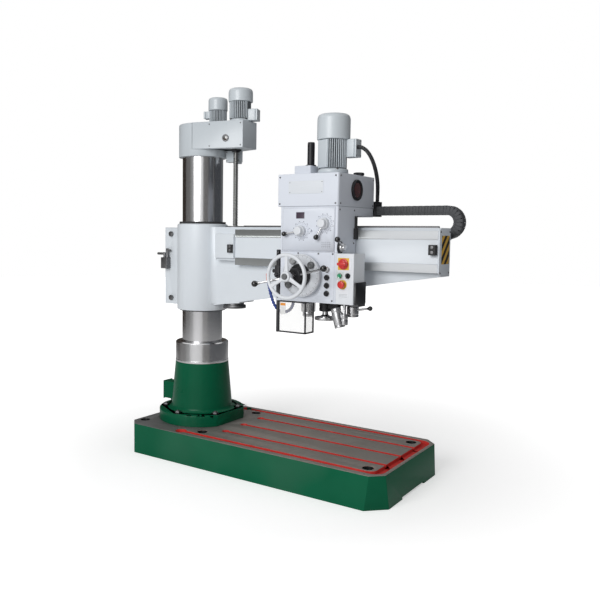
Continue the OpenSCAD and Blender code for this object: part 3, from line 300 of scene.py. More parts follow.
black_rubber = mottled("conduit_rubber", 120, 3, (0.014, 0.015, 0.017), (0.028, 0.029, 0.032),
                       bump=0.0001, roughness=0.5)
conduit = piece("conduit_hose", swept(conduit_line, conduit_radius, 20), black_rubber, "head",
                "motor_conduit", 60)

# Floor and light of the studio: a pale floor, one large soft lamp in front of the machine and above
# it, and a surround of dark and light cards that only gloss sees, open where the lamp stands.
floor_finish = Finish("pale_floor", roughness=0.85, emission_strength=1.0)
camera_ray = floor_finish.node("LightPath", output="Is Camera Ray")
seen_ray = camera_ray.maths("MAXIMUM", floor_finish.node("LightPath", output="Is Glossy Ray") * 0.18)
x, y = floor_finish.axis("X"), floor_finish.axis("Y")
away = ((x - 0.6) * (x - 0.6) + y * y).maths("SQRT").ramp(1.1, 3.2)
floor_finish.surface(base_color=(0.85, 0.85, 0.85), emission_color=floor_finish.mix(
    seen_ray, (0, 0, 0), floor_finish.mix(away, (0.46, 0.46, 0.46), (0.97, 0.97, 0.97))))
angles = np.linspace(0, 2 * math.pi, 96, endpoint=False)
floor_mesh = bpy.data.meshes.new("floor")
floor_mesh.from_pydata([(18 * math.cos(a), 18 * math.sin(a), 0) for a in angles], [], [range(96)])
floor_mesh.materials.append(floor_finish.material)
floor = bpy.data.objects.new("floor", floor_mesh)
scene.collection.objects.link(floor)


def surround_wall(name, first, last, colour):
    """Upright card, 5 m high, on a circle round the machine from one angle to another."""
    radius, height = 5.2, 5.0
    a = np.radians(np.linspace(first, last, 24))
    ring = np.stack([radius * np.cos(a), radius * np.sin(a)], 1)
    points = np.concatenate([np.c_[ring, np.full(24, 0.0)], np.c_[ring, np.full(24, height)]])
    mesh = bpy.data.meshes.new(name)
    mesh.from_pydata(points.tolist(), [], grid_faces(2, 24, False).tolist())
    card = Finish(name, roughness=1.0, emission_strength=1.0, specular_ior_level=0.0)
    card.surface(base_color=(0, 0, 0), emission_color=colour)
    mesh.materials.append(card.material)
    wall = bpy.data.objects.new(name, mesh)
    scene.collection.objects.link(wall)
    wall.visible_camera = wall.visible_diffuse = wall.visible_shadow = wall.visible_transmission = False


walls = (("left_wall", -235, -160, (0.045, 0.036, 0.030)), ("left_screen", -160, -124, (0.20, 0.195, 0.19)),
         ("near_screen", -124, -104, (0.33, 0.335, 0.33)), ("right_screen", -50, -20, (0.20, 0.195, 0.19)),
         ("right_wall", -20, 75, (0.075, 0.080, 0.088)), ("rear_wall", 75, 125, (0.16, 0.165, 0.17)))
for name, first, last, colour in walls:
    surround_wall(name, first, last, colour)

world = bpy.data.worlds.new("studio")
scene.world = world
world.use_nodes = True
sky = world.node_tree
path = sky.nodes.new("ShaderNodeLightPath")
seen = path.outputs["Is Camera Ray"]
for ray in ("Is Glossy Ray", "Is Transmission Ray"):
    either = sky.nodes.new("ShaderNodeMath")
    either.operation = "MAXIMUM"
    sky.links.new(seen, either.inputs[0])
    sky.links.new(path.outputs[ray], either.inputs[1])
    seen = either.outputs[0]
strength = sky.nodes.new("ShaderNodeMapRange")
strength.inputs["To Min"].default_value = 0.30
sky.links.new(seen, strength.inputs["Value"])
sky.nodes["Background"].inputs["Color"].default_value = (1, 1, 1, 1)
sky.links.new(strength.outputs[0], sky.nodes["Background"].inputs["Strength"])

soft_light = bpy.data.lights.new("key_lamp", "AREA")
soft_light.size = 2.8
soft_light.energy = 178
lamp_place, lamp_aim = Vector((0.7, -5.2, 3.0)), Vector((0.7, 0, 1.0))
key_lamp = bpy.data.objects.new("key_lamp", soft_light)
key_lamp.location = lamp_place
key_lamp.rotation_euler = (lamp_aim - lamp_place).to_track_quat("-Z", "Y").to_euler()
scene.collection.objects.link(key_lamp)

# Base: a hollow cast box 1.77 m long. Its sides are green gloss paint, its top is ground bare,
# and the T-slots, the coolant channel and its pockets are brushed red.
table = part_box("base_casting")[1].z
channel_out, channel_in = 0.358, 0.332
anchor_row, anchor_at, anchor_r = 0.285, (0.240, 1.356, -0.240), 0.0312
slot_row, slot_half = 0.188, 0.0125


def enamel(name, slot, light, dark, rough, gloss=0.3):
    """Sprayed gloss paint: a slight orange peel, soft clouds of tone, and dust in places."""
    paint = Finish(name, slot, coat_weight=0.06, coat_roughness=0.15, specular_ior_level=gloss)
    cloud = paint.noise(3.5, 4)
    peel = paint.noise(420, 2)
    patch = paint.noise(1.4, 2)
    colour = paint.mix(cloud, dark, light)
    colour = paint.mix(patch.ramp(0.55, 0.8) * 0.05, colour, (0.55, 0.56, 0.55))
    paint.bump(peel * 0.35 + cloud * 0.65, 0.0006)
    paint.colour = colour
    paint.rough = cloud * 0.16 + rough
    return paint.surface(base_color=colour, roughness=paint.rough)


def ground(finish, stretch, light, dark, scale=320):
    """Colour of bare ground metal: fine lines along one axis over faint clouds."""
    lines = finish.noise(scale, 4, stretch, 0.7)
    stain = finish.noise(5, 5)
    return lines, finish.mix(lines * 0.5 + stain * 0.5, dark, light)


def in_circle(u, v, u0, v0, radius):
    """1 inside a circle round (u0, v0), and 0 outside it."""
    return ((u - u0) * (u - u0) + (v - v0) * (v - v0)) < radius ** 2


base_paint = enamel("base_paint", "green_paint", (0.004, 0.128, 0.060), (0.001, 0.088, 0.040), 0.24, 0.08)
x, y, z = (base_paint.axis(k) for k in "XYZ")
side = y.maths("ABSOLUTE")
lines, bare_colour = ground(base_paint, (0.05, 1, 1), (0.40, 0.365, 0.335), (0.215, 0.19, 0.17))
bare_colour = base_paint.mix(x.ramp(-0.1, 0.5), (0.19, 0.19, 0.19), bare_colour)
red_cloud = base_paint.noise(14, 4)
red_colour = base_paint.mix(red_cloud, (0.42, 0.030, 0.026), (0.70, 0.060, 0.050))
facing = base_paint.node("SeparateXYZ", {}, [base_paint.node("NewGeometry", output="Normal")], 2)
on_top = (z > table - 0.0012) * (facing > 0.5)
inside = z.between(0.1395, table - 0.0002) * (side < 0.372) * x.between(0.07, 1.4745)
inside = inside * ((x + side) < 1.794)
hole, hole_right, hole_left = (in_circle(x, side, at, anchor_row, anchor_r) for at in anchor_at)
hole_shade = (hole + hole_right + hole_left).maths("MINIMUM", 1.0) * (z < table - 0.0008)
red = inside * (1 - hole) * (1 - hole_right)
brim = side.between(channel_in - 0.0045, channel_out + 0.0045) * (x > 0.12) * (x < 1.30)
slot_brim = side.between(slot_row - slot_half, slot_row + slot_half) + (side < slot_half)
slot_brim = slot_brim * x.between(0.35, 1.44)
ragged = base_paint.noise(90, 3) > 0.52
painted = red.maths("MAXIMUM", on_top * (brim + slot_brim) * ragged).maths("MINIMUM", 1.0)
colour = base_paint.mix(on_top, base_paint.colour, bare_colour)
colour = base_paint.mix(painted, colour, red_colour)
# The anchor holes are painted near black below the table: painted shade in their depth.
colour = base_paint.mix(hole_shade, colour, (0.012, 0.014, 0.014))
bare = on_top * (1 - painted)
base_paint.surface(base_color=colour, metallic=bare * 0.75,
                   roughness=base_paint.rough + bare * 0.22 + painted * 0.18,
                   coat_weight=(1 - bare) * 0.06)


def softened(node, width, finish, segments=2, corner=32.0):
    """A copy of a CAD node with its flat triangles joined and every sharp edge rounded off."""
    source = frame["nodes"][node]
    mesh = source.data.copy()
    work = bmesh.new()
    work.from_mesh(mesh)
    bmesh.ops.remove_doubles(work, verts=work.verts, dist=1e-5)
    bmesh.ops.dissolve_limit(work, angle_limit=math.radians(0.8), verts=work.verts, edges=work.edges)
    for face in work.faces:
        face.material_index = 0
    work.to_mesh(mesh)
    work.free()
    mesh.materials.clear()
    mesh.materials.append(finish.material)
    mesh.shade_smooth()
    made = bpy.data.objects.new(node + "_body", mesh)
    scene.collection.objects.link(made)
    edge = made.modifiers.new("edge", "BEVEL")
    edge.width = width
    edge.segments = segments
    edge.limit_method = "ANGLE"
    edge.angle_limit = math.radians(corner)
    edge.use_clamp_overlap = False
    edge.harden_normals = True
    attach(made, source["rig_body"])
    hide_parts(node)


softened("base_casting", 0.0022, base_paint)

# Foot and its terminal box: one grey iron casting, painted green like the base, with six
# bolts in spot-faced seats. The box on its left takes the mains.
green = enamel("green_enamel", "green_paint", (0.002, 0.120, 0.055), (0.001, 0.080, 0.036), 0.22, 0.1)
softened("column_foot", 0.003, green, 3)
softened("power_box", 0.003, green, 3)


def joined(*parts):
    """One set of points and faces from several."""
    points, faces, start = [], [], 0
    for p, f in parts:
        points.append(np.asarray(p, float))
        faces += [[int(i) + start for i in row] for row in f]
        start += len(p)
    return np.concatenate(points), faces


def rounded_box(low, high, radius, steps=3):
    """Points and faces of a box whose edges are quarter circles: an inner box, blown up by radius
    along the direction from its nearest point."""
    low, high = np.asarray(low, float), np.asarray(high, float)
    middle, half = (low + high) / 2, (high - low) / 2
    arc = np.sin(np.linspace(0, math.pi / 2, steps + 1)) * radius
    marks = [np.unique(np.round(np.r_[-(h - radius) - arc, (h - radius) + arc], 9)) for h in half]
    parts = []
    for axis in range(3):
        u, v = marks[(axis + 1) % 3], marks[(axis + 2) % 3]
        for sign in (-1, 1):
            gu, gv = np.meshgrid(u, v, indexing="ij")
            q = np.zeros((gu.size, 3))
            q[:, axis] = sign * half[axis]
            q[:, (axis + 1) % 3] = gu.ravel()
            q[:, (axis + 2) % 3] = gv.ravel()
            core = np.clip(q, -(half - radius), half - radius)
            way = q - core
            way /= np.linalg.norm(way, axis=1)[:, None]
            parts.append((middle + core + way * radius, grid_faces(len(u), len(v), False)))
    return joined(*parts)


def turned(profile, place, direction=(0, 0, 1), sides=64, round_off=0.0):
    """Points and faces of a lathe-turned form: the profile of (radius, height) pairs is carried
    round the axis. Each inner corner is first cut by an arc of about round_off."""
    p = np.asarray(profile, float)
    if round_off:
        bent = [p[0]]
        for before, at, after in zip(p[:-2], p[1:-1], p[2:]):
            a, b = before - at, after - at
            la, lb = np.linalg.norm(a), np.linalg.norm(b)
            reach = min(round_off, la * 0.45, lb * 0.45)
            one, two = at + a / la * reach, at + b / lb * reach
            for t in (0, 0.33, 0.67, 1):
                bent.append((1 - t) ** 2 * one + 2 * t * (1 - t) * at + t * t * two)
        p = np.array(bent + [p[-1]])
    a = np.linspace(0, 2 * math.pi, sides, endpoint=False)
    ring = np.stack([p[:, :1] * np.cos(a), p[:, :1] * np.sin(a),
                     np.broadcast_to(p[:, 1:], (len(p), sides))], 2).reshape(-1, 3)
    turn_to = np.array(Vector(direction).to_track_quat("Z", "Y").to_matrix())
    return ring @ turn_to.T + np.asarray(place, float), grid_faces(len(p), sides)


steel = Finish("dark_steel", metallic=1.0)
lines, colour = ground(steel, (1, 1, 1), (0.22, 0.22, 0.225), (0.10, 0.10, 0.105), 90)
steel.bump(lines, 0.0002)
steel.surface(base_color=colour, roughness=lines * 0.25 + 0.32)


def hexagon_bolt(place, across_flats, height, turn_by):
    """Six-sided head with a turned chamfer, on a round washer."""
    r = across_flats / math.sqrt(3)
    a = np.arange(6) * math.pi / 3 + turn_by
    rows = []
    for radius, at in ((r, 0), (r, height * 0.82), (r * 0.9, height), (0, height)):
        rows.append(np.stack([radius * np.cos(a), radius * np.sin(a), np.full(6, at)], 1))
    head = np.concatenate(rows) + np.asarray(place, float)
    washer = turned([(0, 0), (r * 1.22, 0), (r * 1.22, across_flats * 0.06), (0, across_flats * 0.06)],
                    place, sides=24)
    return joined((head, grid_faces(4, 6)), washer)


bolt_ring, bolt_seat, bolt_angles = 0.240, 0.246, np.radians(30 + 60 * np.arange(6))
seats = [(bolt_ring * math.cos(a), bolt_ring * math.sin(a), bolt_seat) for a in bolt_angles]
bolts = [hexagon_bolt(seat, 0.036, 0.017, a) for seat, a in zip(seats, bolt_angles)]
profile = [(0.010, 0), (0.010, 0.022), (0.0085, 0.0235), (0, 0.0235)]
studs = [turned(profile, seat, sides=20) for seat in seats]
piece("foot_nuts", joined(*bolts, *studs), steel, "base", "foot_bolts", 30)


def screw_heads(places, radius, direction):
    """Small domed screw heads, each a turned cap."""
    way = Vector(direction)
    profile = [(radius, 0), (radius * 0.95, radius * 0.35), (radius * 0.6, radius * 0.62),
               (radius * 0.3, radius * 0.40), (0, radius * 0.40)]
    return joined(*[turned(profile, p, way, 14) for p in places])


box_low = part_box("power_box")[0]
corners = [(box_low.x, box_low.y + dy, box_low.z + dz) for dy in (0.010, 0.078) for dz in (0.022, 0.124)]
piece("power_box_screws", screw_heads(corners, 0.0035, (-1, 0, 0)), steel, "base")

# Column: a steel tube 260 mm across, ground bright so that the arm slides on it, in a polished
# clamp collar on the foot. Grinding runs round it.
bright = Finish("bright_steel", metallic=1.0)
lines = bright.noise(300, 4, (0.04, 0.04, 1.0), 0.7)
film = bright.noise(2.2, 3, (1, 1, 0.35))
bright.bump(lines, 0.00004)
bright.surface(base_color=bright.mix(lines * 0.4 + film * 0.6, (0.50, 0.50, 0.51), (0.70, 0.70, 0.71)),
               roughness=lines * 0.10 + film * 0.08 + 0.12)
column_low, column_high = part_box("outer_column")
form = turned([(0.108, column_low.z), (0.128, column_low.z), (0.130, column_low.z + 0.002),
               (0.130, column_high.z), (0.108, column_high.z), (0.108, column_low.z)], (0, 0, 0), sides=160)
piece("column_tube", form, bright, "column", "outer_column", 30)
collar_low, collar_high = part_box("clamp_collar")
bottom, top = collar_low.z, collar_high.z
form = turned([(0.1303, bottom), (0.1735, bottom), (0.1735, bottom + 0.013), (0.1720, bottom + 0.014),
               (0.1720, top - 0.007), (0.1650, top), (0.1340, top), (0.1303, top - 0.003),
               (0.1303, bottom)], (0, 0, 0), sides=160, round_off=0.0012)
piece("collar_ring", form, bright, "base", "clamp_collar", 30)
for node in ("inner_column", "gib_strips", "traverse_rack"):
    frame["nodes"][node].data.materials[0] = steel.material

# Column head: a round cap and a gear case for the lift gear, cast in one and sprayed grey.
# Under the case hang the black screw bearing and the limit switch box; an oil sight is in front.
# This grey is a darker copy of the grey paint on the arm and head: painted shade for the gear case's flank.
grey = enamel("column_head_shade_enamel", "grey_paint", (0.56, 0.605, 0.64), (0.52, 0.565, 0.60), 0.26, 0.5)
softened("column_head", 0.0025, grey, 2)
softened("limit_box", 0.003, grey, 3)

black = Finish("black_plastic", specular_ior_level=0.3)
speck = black.noise(260, 3)
film = black.noise(18, 3)
black.bump(speck, 0.00015)
black.surface(base_color=black.mix(film, (0.007, 0.007, 0.009), (0.016, 0.016, 0.019)),
              roughness=film * 0.2 + 0.32)
softened("screw_bearing", 0.0015, black)
case_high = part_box("column_head")[1]
limit_low, limit_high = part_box("limit_box")
spots = [(x, limit_low.y, z) for x in (limit_low.x + 0.008, limit_low.x + 0.100)
         for z in (limit_low.z + 0.022, limit_high.z - 0.010)]
piece("limit_screws", screw_heads(spots, 0.0042, (0, -1, 0)), steel, "column")
# The case's flank runs from the round cap to its right edge, turned 12.8 degrees.
flank = np.array((0.2216, -0.9751, 0))
spots = [(x, -0.073 - (0.369 - x) * 0.2273, z) for x in (0.150, 0.354) for z in (1.926, 2.058)]
piece("case_screws", screw_heads(spots, 0.0042, flank), steel, "column")
profile = [(0.0105, 0), (0.0105, 0.009), (0.0095, 0.0104), (0.0062, 0.0104), (0.0056, 0.004), (0, 0.004)]
caps = [turned(profile, (x, y, case_high.z), sides=20) for x in (0.155, 0.190) for y in (-0.055, 0.055)]
piece("case_bolts", joined(*caps), steel, "column")

glass = Finish("sight_glass", coat_weight=1.0, roughness=0.12)
level = glass.axis("Z").ramp(1.969, 1.9705)
glass.surface(base_color=glass.mix(level, (0.055, 0.040, 0.030), (0.16, 0.165, 0.165)))
sight_at = (0.257, -0.0985, 1.971)
form = turned([(0, 0.001), (0.0215, 0.0), (0.022, 0.0), (0.022, 0.0035), (0.020, 0.006), (0.0155, 0.006),
               (0.0148, 0.0035), (0.0148, 0.0), (0, 0)], sight_at, flank, 48, 0.0006)
piece("sight_ring", form, steel, "column", "oil_sight")
form = turned([(0.0146, 0.0005), (0.0146, 0.0036), (0.010, 0.0050), (0.005, 0.0056), (0, 0.0058)],
              sight_at, flank, 40)
piece("sight_lens", form, glass, "column")

# Flange motors in grey-blue enamel, two here and one on the head: a cast body with thin cooling
# fins, a pressed fan cover with a grooved top, and a terminal box with a lid held by four screws.
motor_enamel = enamel("motor_enamel", "motor_paint", (0.60, 0.65, 0.685), (0.55, 0.595, 0.63), 0.24, 0.45)
# The barrel between the fins gets a dark copy of the motor enamel: painted shade in the gaps between the
# fins.
fin_gap_shade = enamel("motor_fin_gap_shade", "motor_paint", (0.16, 0.175, 0.19), (0.11, 0.12, 0.13), 0.5, 0.1)


def about_z(part, turn_by):
    """Turn a part about Z by an angle in degrees."""
    points, faces = part
    a = math.radians(turn_by)
    spin = np.array([[math.cos(a), -math.sin(a), 0], [math.sin(a), math.cos(a), 0], [0, 0, 1]])
    return np.asarray(points) @ spin.T, faces


def flange_motor(node, place, d, h, fan_share, box_turn, box_size, box_up, fins, pad=None, box_side=0.0):
    """Upright motor on its flange; d and h are the fan cover's width and the whole height."""
    body = frame["nodes"][node]["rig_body"]
    r, fan = d * 0.41, h * (1 - fan_share)
    length, depth, height = box_size
    shell = turned([(0, 0), (d * 0.46, 0), (d * 0.46, h * 0.05), (d * 0.44, h * 0.062), (r, h * 0.075),
                    (r - 0.004, h * 0.080), (r - 0.004, fan + 0.006), (0, fan + 0.006)],
                   (0, 0, 0), sides=96, round_off=0.003)
    barrel = turned([(r - 0.006, h * 0.078), (r, h * 0.078), (r, fan + 0.004), (r - 0.006, fan + 0.004)],
                    np.asarray(place), sides=96)
    piece(node + "_barrel", barrel, fin_gap_shade, body)
    cover = turned([(r, fan - 0.004), (d * 0.492, fan - 0.004), (d * 0.5, fan), (d * 0.5, h - d * 0.17),
                    (d * 0.494, h - d * 0.115), (d * 0.476, h - d * 0.065), (d * 0.445, h - d * 0.028),
                    (d * 0.405, h - d * 0.007), (d * 0.36, h), (d * 0.355, h - 0.004),
                    (d * 0.315, h - 0.004), (d * 0.31, h), (d * 0.24, h), (d * 0.235, h - 0.004),
                    (d * 0.195, h - 0.004), (d * 0.19, h), (d * 0.11, h), (d * 0.10, h - 0.003),
                    (0, h - 0.003)], (0, 0, 0), sides=96, round_off=0.0016)
    parts = [shell, cover]
    low, high = h * 0.085, fan - 0.006
    for k in range(fins):
        a = 360 * k / fins
        beside = r * math.sin(math.radians(a - box_turn)) - box_side
        if abs(beside) < depth / 2 + 0.004 and math.cos(math.radians(a - box_turn)) > 0:
            continue
        if pad and abs((a - pad + 180) % 360 - 180) < 26:
            continue
        parts.append(about_z(rounded_box((r - 0.004, -0.0017, low), (d * 0.468, 0.0017, high), 0.0012, 1),
                             a))
    if pad:
        parts.append(about_z(rounded_box((r - 0.030, -d * 0.20, low), (d * 0.445, d * 0.20, high), 0.006),
                             pad))
    lid = r + length - 0.012
    near, far, box_top = box_side - depth / 2, box_side + depth / 2, box_up + height
    parts.append(about_z(rounded_box((r - 0.010, near, box_up), (lid - 0.0008, far, box_top), 0.004),
                         box_turn))
    parts.append(about_z(rounded_box((lid, near, box_up), (r + length, far, box_top), 0.003), box_turn))
    points, faces = joined(*parts)
    piece(node + "_body", (points + np.asarray(place), faces), motor_enamel, body, node, 32)
    way = np.array([math.cos(math.radians(box_turn)), math.sin(math.radians(box_turn)), 0])
    side = np.array([-way[1], way[0], 0])
    up = np.array((0, 0, 1))
    middle = np.asarray(place) + way * (r + length - 0.0006) + side * box_side + up * (box_up + height / 2)
    spots = [middle + side * u * (depth / 2 - 0.009) + up * v * (height / 2 - 0.009)
             for u in (-1, 1) for v in (-1, 1)]
    foot_r, foot_z = d * 0.43, h * 0.05 + 0.0005
    feet = [turned([(0.0075, 0), (0.0075, 0.007), (0.0065, 0.008), (0, 0.008)],
                   np.asarray(place) + np.array((foot_r * math.cos(a), foot_r * math.sin(a), foot_z)),
                   sides=6) for a in np.radians(box_turn + np.array((45, 135, 225, 315)))]
    piece(node + "_screws", joined(screw_heads(spots, 0.0036, way), *feet), steel, body)


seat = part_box("lift_motor")[0].z
flange_motor("lift_motor", (0.298, 0, seat), 0.150, 0.200, 0.38, 20, (0.054, 0.070, 0.070), 0.004, 36)
flange_motor("pump_motor", (0.085, 0.045, seat), 0.122, 0.172, 0.44, 195, (0.040, 0.050, 0.046), 0.044, 34)

# Lift screw: a trapezoidal thread of 32 mm with a 10 mm lead, ground steel wet with oil. It
# hangs in its bearing under the gear case and runs through the nut in the arm.
oiled = mottled("oiled_steel", 60, 4, (0.16, 0.16, 0.155), (0.30, 0.30, 0.295), (0.26, 0.18),
                (1, 1, 0.4), slot="bright_steel", metallic=1.0, coat_weight=0.3)
screw_low, screw_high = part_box("lift_screw")
screw_axis = (0.264, 0, 0)


def thread(low, high, radius, depth, lead, place, sides=28, rows_a_turn=10):
    """Screw thread as a grid of height and angle: the radius is a trapezoid wave of the height
    less the share of the lead that the angle has run through."""
    rows = int((high - low) / lead * rows_a_turn)
    z, a = np.meshgrid(np.linspace(low, high, rows + 1), np.arange(sides) * 2 * math.pi / sides,
                       indexing="ij")
    phase = (z / lead - a / (2 * math.pi)) % 1.0
    wave = np.clip(np.abs(phase - 0.5) * 6 - 1.0, 0, 1)
    fade = np.clip(np.minimum(z - low, high - z) / 0.004, 0, 1)
    r = radius - depth * (1 - wave) * fade - 0.002 * (1 - fade)
    points = np.stack([r * np.cos(a), r * np.sin(a), z], 2).reshape(-1, 3) + np.asarray(place)
    count = len(points)
    faces = [list(f) for f in grid_faces(rows + 1, sides)]
    faces += [list(range(sides - 1, -1, -1)), list(range(count - sides, count))]
    return points, faces


shank = turned([(0, 1.893), (0.016, 1.893), (0.016, screw_high.z), (0, screw_high.z)], screw_axis, sides=40)
tip = turned([(0, screw_low.z), (0.011, screw_low.z), (0.0158, screw_low.z + 0.012), (0.0158, 1.194),
              (0, 1.194)], screw_axis, sides=40)
form = joined(thread(1.190, 1.896, 0.016, 0.0035, 0.010, screw_axis), shank, tip)
piece("lift_thread", form, oiled, "screw", "lift_screw", 50)

# Arm: one iron casting of sleeve, clamp ears and tapered beam, sprayed grey. The two guide
# strips along its front are ground bare, as is the seat of the sleeve's clamp.
arm_paint = enamel("arm_enamel", "grey_paint", (0.74, 0.785, 0.83), (0.70, 0.745, 0.79), 0.27, 0.5)
x, y, z = (arm_paint.axis(k) for k in "XYZ")
strip = z.between(1.2003, 1.2447).maths("MAXIMUM", z.between(1.3703, 1.4147)) * (y < -0.1192) * (x > 0.353)
edge = z.between(1.4147, 1.4165) + z.between(1.1980, 1.2003) + z.between(1.3680, 1.3703)
bare = strip.maths("MAXIMUM", edge * (y < -0.104) * (x > 0.353))
# Near the head the bare strips are a dark steel, darkened in part as a painted reflection of the dark
# cards; towards the far end they are mixed to a light grey, rougher and less metallic, a painted reflection
# of the bright studio.
lines, bare_colour = ground(arm_paint, (0.03, 1, 1), (0.33, 0.345, 0.345), (0.24, 0.25, 0.25), 260)
far = x.ramp(1.16, 1.38)
bare_colour = arm_paint.mix(far, bare_colour, (0.60, 0.62, 0.64))
# The arm's grey is mixed darker towards its far end: painted shade.
far_end_shade = arm_paint.mix(x.ramp(1.0, 1.6) * 0.5, arm_paint.colour, (0.50, 0.54, 0.585))
arm_paint.surface(base_color=arm_paint.mix(bare, far_end_shade, bare_colour), metallic=bare * (0.55 - far * 0.45),
                  roughness=arm_paint.rough * (1 - bare) + bare * (0.24 + far * 0.36),
                  coat_weight=(1 - bare) * 0.06)
softened("arm_casting", 0.0016, arm_paint, 2)
softened("lift_nut", 0.0015, steel)
softened("sleeve_clamp", 0.0015, steel)

felt = mottled("black_rubber", 500, 4, (0.012, 0.012, 0.013), (0.040, 0.040, 0.042), bump=0.0004,
               roughness=0.8)
softened("travel_stops", 0.003, felt, 3)
stop_low, stop_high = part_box("travel_stops")
screw_spots = [(stop_low.x + 0.018, stop_low.y + 0.0002, stop_low.z + up) for up in (0.013, 0.037)]
screw_spots += [(stop_high.x - 0.019, stop_low.y + 0.0042, stop_high.z - down) for down in (0.013, 0.039)]
stop_screws = [turned([(0.0085, 0), (0.0085, 0.0012), (0.0075, 0.0018), (0.0045, 0.0018),
                       (0.0040, 0.0006), (0, 0.0006)], spot, (0, -1, 0), 28) for spot in screw_spots]
piece("stop_screws", joined(*stop_screws), steel, "arm")
seal_low, seal_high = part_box("arm_seals")
rings = []
for bottom, top in ((seal_low.z, seal_low.z + 0.007), (seal_high.z - 0.013, seal_high.z)):
    rings.append(turned([(0.1304, bottom), (0.1495, bottom), (0.1495, top), (0.1304, top),
                         (0.1304, bottom)], (0, 0, 0), sides=128, round_off=0.0015))
piece("seal_rings", joined(*rings), felt, "arm", "arm_seals")

# End plate of the arm: a sprayed steel sheet with a printed warning field of yellow and black bars,
# held by four screws.
plate_paint = enamel("plate_enamel", "grey_paint", (0.70, 0.745, 0.80), (0.655, 0.70, 0.755), 0.34)
x, y, z = (plate_paint.axis(k) for k in "XYZ")
field = y.between(-0.089, 0.021) * z.between(1.245, 1.391) * (x > 1.6395)
bars = ((z - y) * 15.0).maths("FRACT") > 0.5
warning = plate_paint.mix(bars, (0.02, 0.02, 0.02), (0.72, 0.42, 0.05))
plate_paint.surface(base_color=plate_paint.mix(field, plate_paint.colour, warning))
softened("end_plate", 0.0012, plate_paint)
end_low, end_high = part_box("end_plate")
spots = [(end_high.x, y, z) for y in (end_low.y + 0.014, end_high.y - 0.014)
         for z in (end_low.z + 0.02, end_high.z - 0.02)]
piece("end_plate_screws", screw_heads(spots, 0.0055, (1, 0, 0)), steel, "arm")

# Cable chain: 80 short links of dark grey plastic, each a closed frame of two side plates that
# lap over their neighbours and two lids. It lies in a bent sheet tray on the arm's back.
tray = mottled("grey_metal", 30, 4, (0.52, 0.55, 0.58), (0.62, 0.65, 0.68), (0.35, 0.2), metallic=0.3)
softened("chain_trough", 0.0006, tray)
chain_low, chain_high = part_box("energy_chain")
chain_x, chain_z, run_r = 1.592, 1.462, 0.064
upper, lower = chain_x - chain_low.x, 0.520
total = upper + math.pi * run_r + lower
links = 80
pitch = total / links


def chain_place(s):
    """Middle of the chain at the length s from its head end, with the direction there."""
    if s < upper:
        return np.array((chain_low.x + s, chain_z + run_r)), 0.0
    if s > total - lower:
        return np.array((chain_x - (s - (total - lower)), chain_z - run_r)), math.pi
    a = (s - upper) / run_r
    return np.array((chain_x + run_r * math.sin(a), chain_z + run_r * math.cos(a))), a


def plate_shape(half, tall, thick, y0, hollow=0.0):
    """Side plate of a link: a rounded outline in the chain's plane, with a raised rim."""
    t = np.linspace(0, 2 * math.pi, 21)[:-1]
    u = np.sign(np.cos(t)) * np.abs(np.cos(t)) ** 0.45 * half
    w = np.sign(np.sin(t)) * np.abs(np.sin(t)) ** 0.45 * tall
    rows = []
    for scale, depth in ((0.0, thick), (0.62, thick), (0.68, thick - hollow), (0.86, thick - hollow),
                         (0.93, thick), (1.0, thick * 0.6), (1.0, 0), (0.0, 0)):
        rows.append(np.stack([u * scale, np.full(20, y0 - depth), w * scale], 1))
    return np.concatenate(rows), grid_faces(8, 20)


parts = []
for k in range(links):
    at, a = chain_place((k + 0.5) * pitch)
    shift = 0.0010 * (k % 2)
    half = pitch * 0.60
    link = [plate_shape(half, 0.0248, 0.0030, chain_low.y + 0.0040 + shift, 0.0006),
            plate_shape(half, 0.0248, 0.0030, chain_high.y - 0.0002 - shift, -0.0006)]
    for side, reach in ((-1, 0.46), (1, 0.66 if 0 < a < 3.1 else 0.49)):
        middle_z = side * 0.0232 + 0.0005 * (k % 2)
        link.append(rounded_box((-pitch * reach, chain_low.y + 0.002, middle_z - 0.0016),
                                (pitch * reach, chain_high.y - 0.002, middle_z + 0.0016), 0.0010, 1))
    points, faces = joined(*link)
    turned_points = np.stack([points[:, 0] * math.cos(a) + points[:, 2] * math.sin(a), points[:, 1],
                              -points[:, 0] * math.sin(a) + points[:, 2] * math.cos(a)], 1)
    parts.append((turned_points + np.array((at[0], 0, at[1])), faces))
cables = []
for y0, r in ((0.108, 0.010), (0.121, 0.0075), (0.134, 0.010)):
    middle = [chain_place(s)[0] for s in np.linspace(0.002, total - 0.002, 220)]
    cables.append(swept([(p[0], y0, p[1]) for p in middle], r, 12))
chain_grey = mottled("chain_grey", 24, 4, (0.050, 0.052, 0.056), (0.095, 0.098, 0.104), (0.45, 0.2),
                     slot="black_plastic", specular_ior_level=0.3)
piece("chain_links", joined(*parts), chain_grey, "chain", "energy_chain", 30)
piece("chain_cables", joined(*cables), black_rubber, "chain", smooth=60)

# Drill head: an iron casting with a bolted cover over the gears; the black wipers at its sides
# sweep the ways. The seam of the lower half runs round it at the height of the handwheel's disc.
head_paint = enamel("head_enamel", "grey_paint", (0.72, 0.755, 0.825), (0.68, 0.715, 0.785), 0.33)
x, y, z = (head_paint.axis(k) for k in "XYZ")
seam = z.between(1.2958, 1.2970) + z.between(1.5372, 1.5384)
seam = seam + x.between(1.1555, 1.1563) * z.between(1.035, 1.535) * (y < -0.329)
seam = seam.maths("MINIMUM", 1.0) * 0.8
head_paint.surface(base_color=head_paint.mix(seam, head_paint.colour, (0.10, 0.11, 0.12)))
softened("head_casting", 0.0018, head_paint, 2)
softened("head_cover", 0.0035, head_paint, 3)
softened("way_wipers", 0.002, felt)
softened("chain_bracket", 0.0008, black)
head_low, head_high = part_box("head_casting")
cover_low, cover_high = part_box("head_cover")
front = [(x, head_low.y, 1.289) for x in (0.806, 0.935, 1.060, 1.146)]
front += [(0.806, head_low.y, 1.044), (1.146, head_low.y, 1.044)]
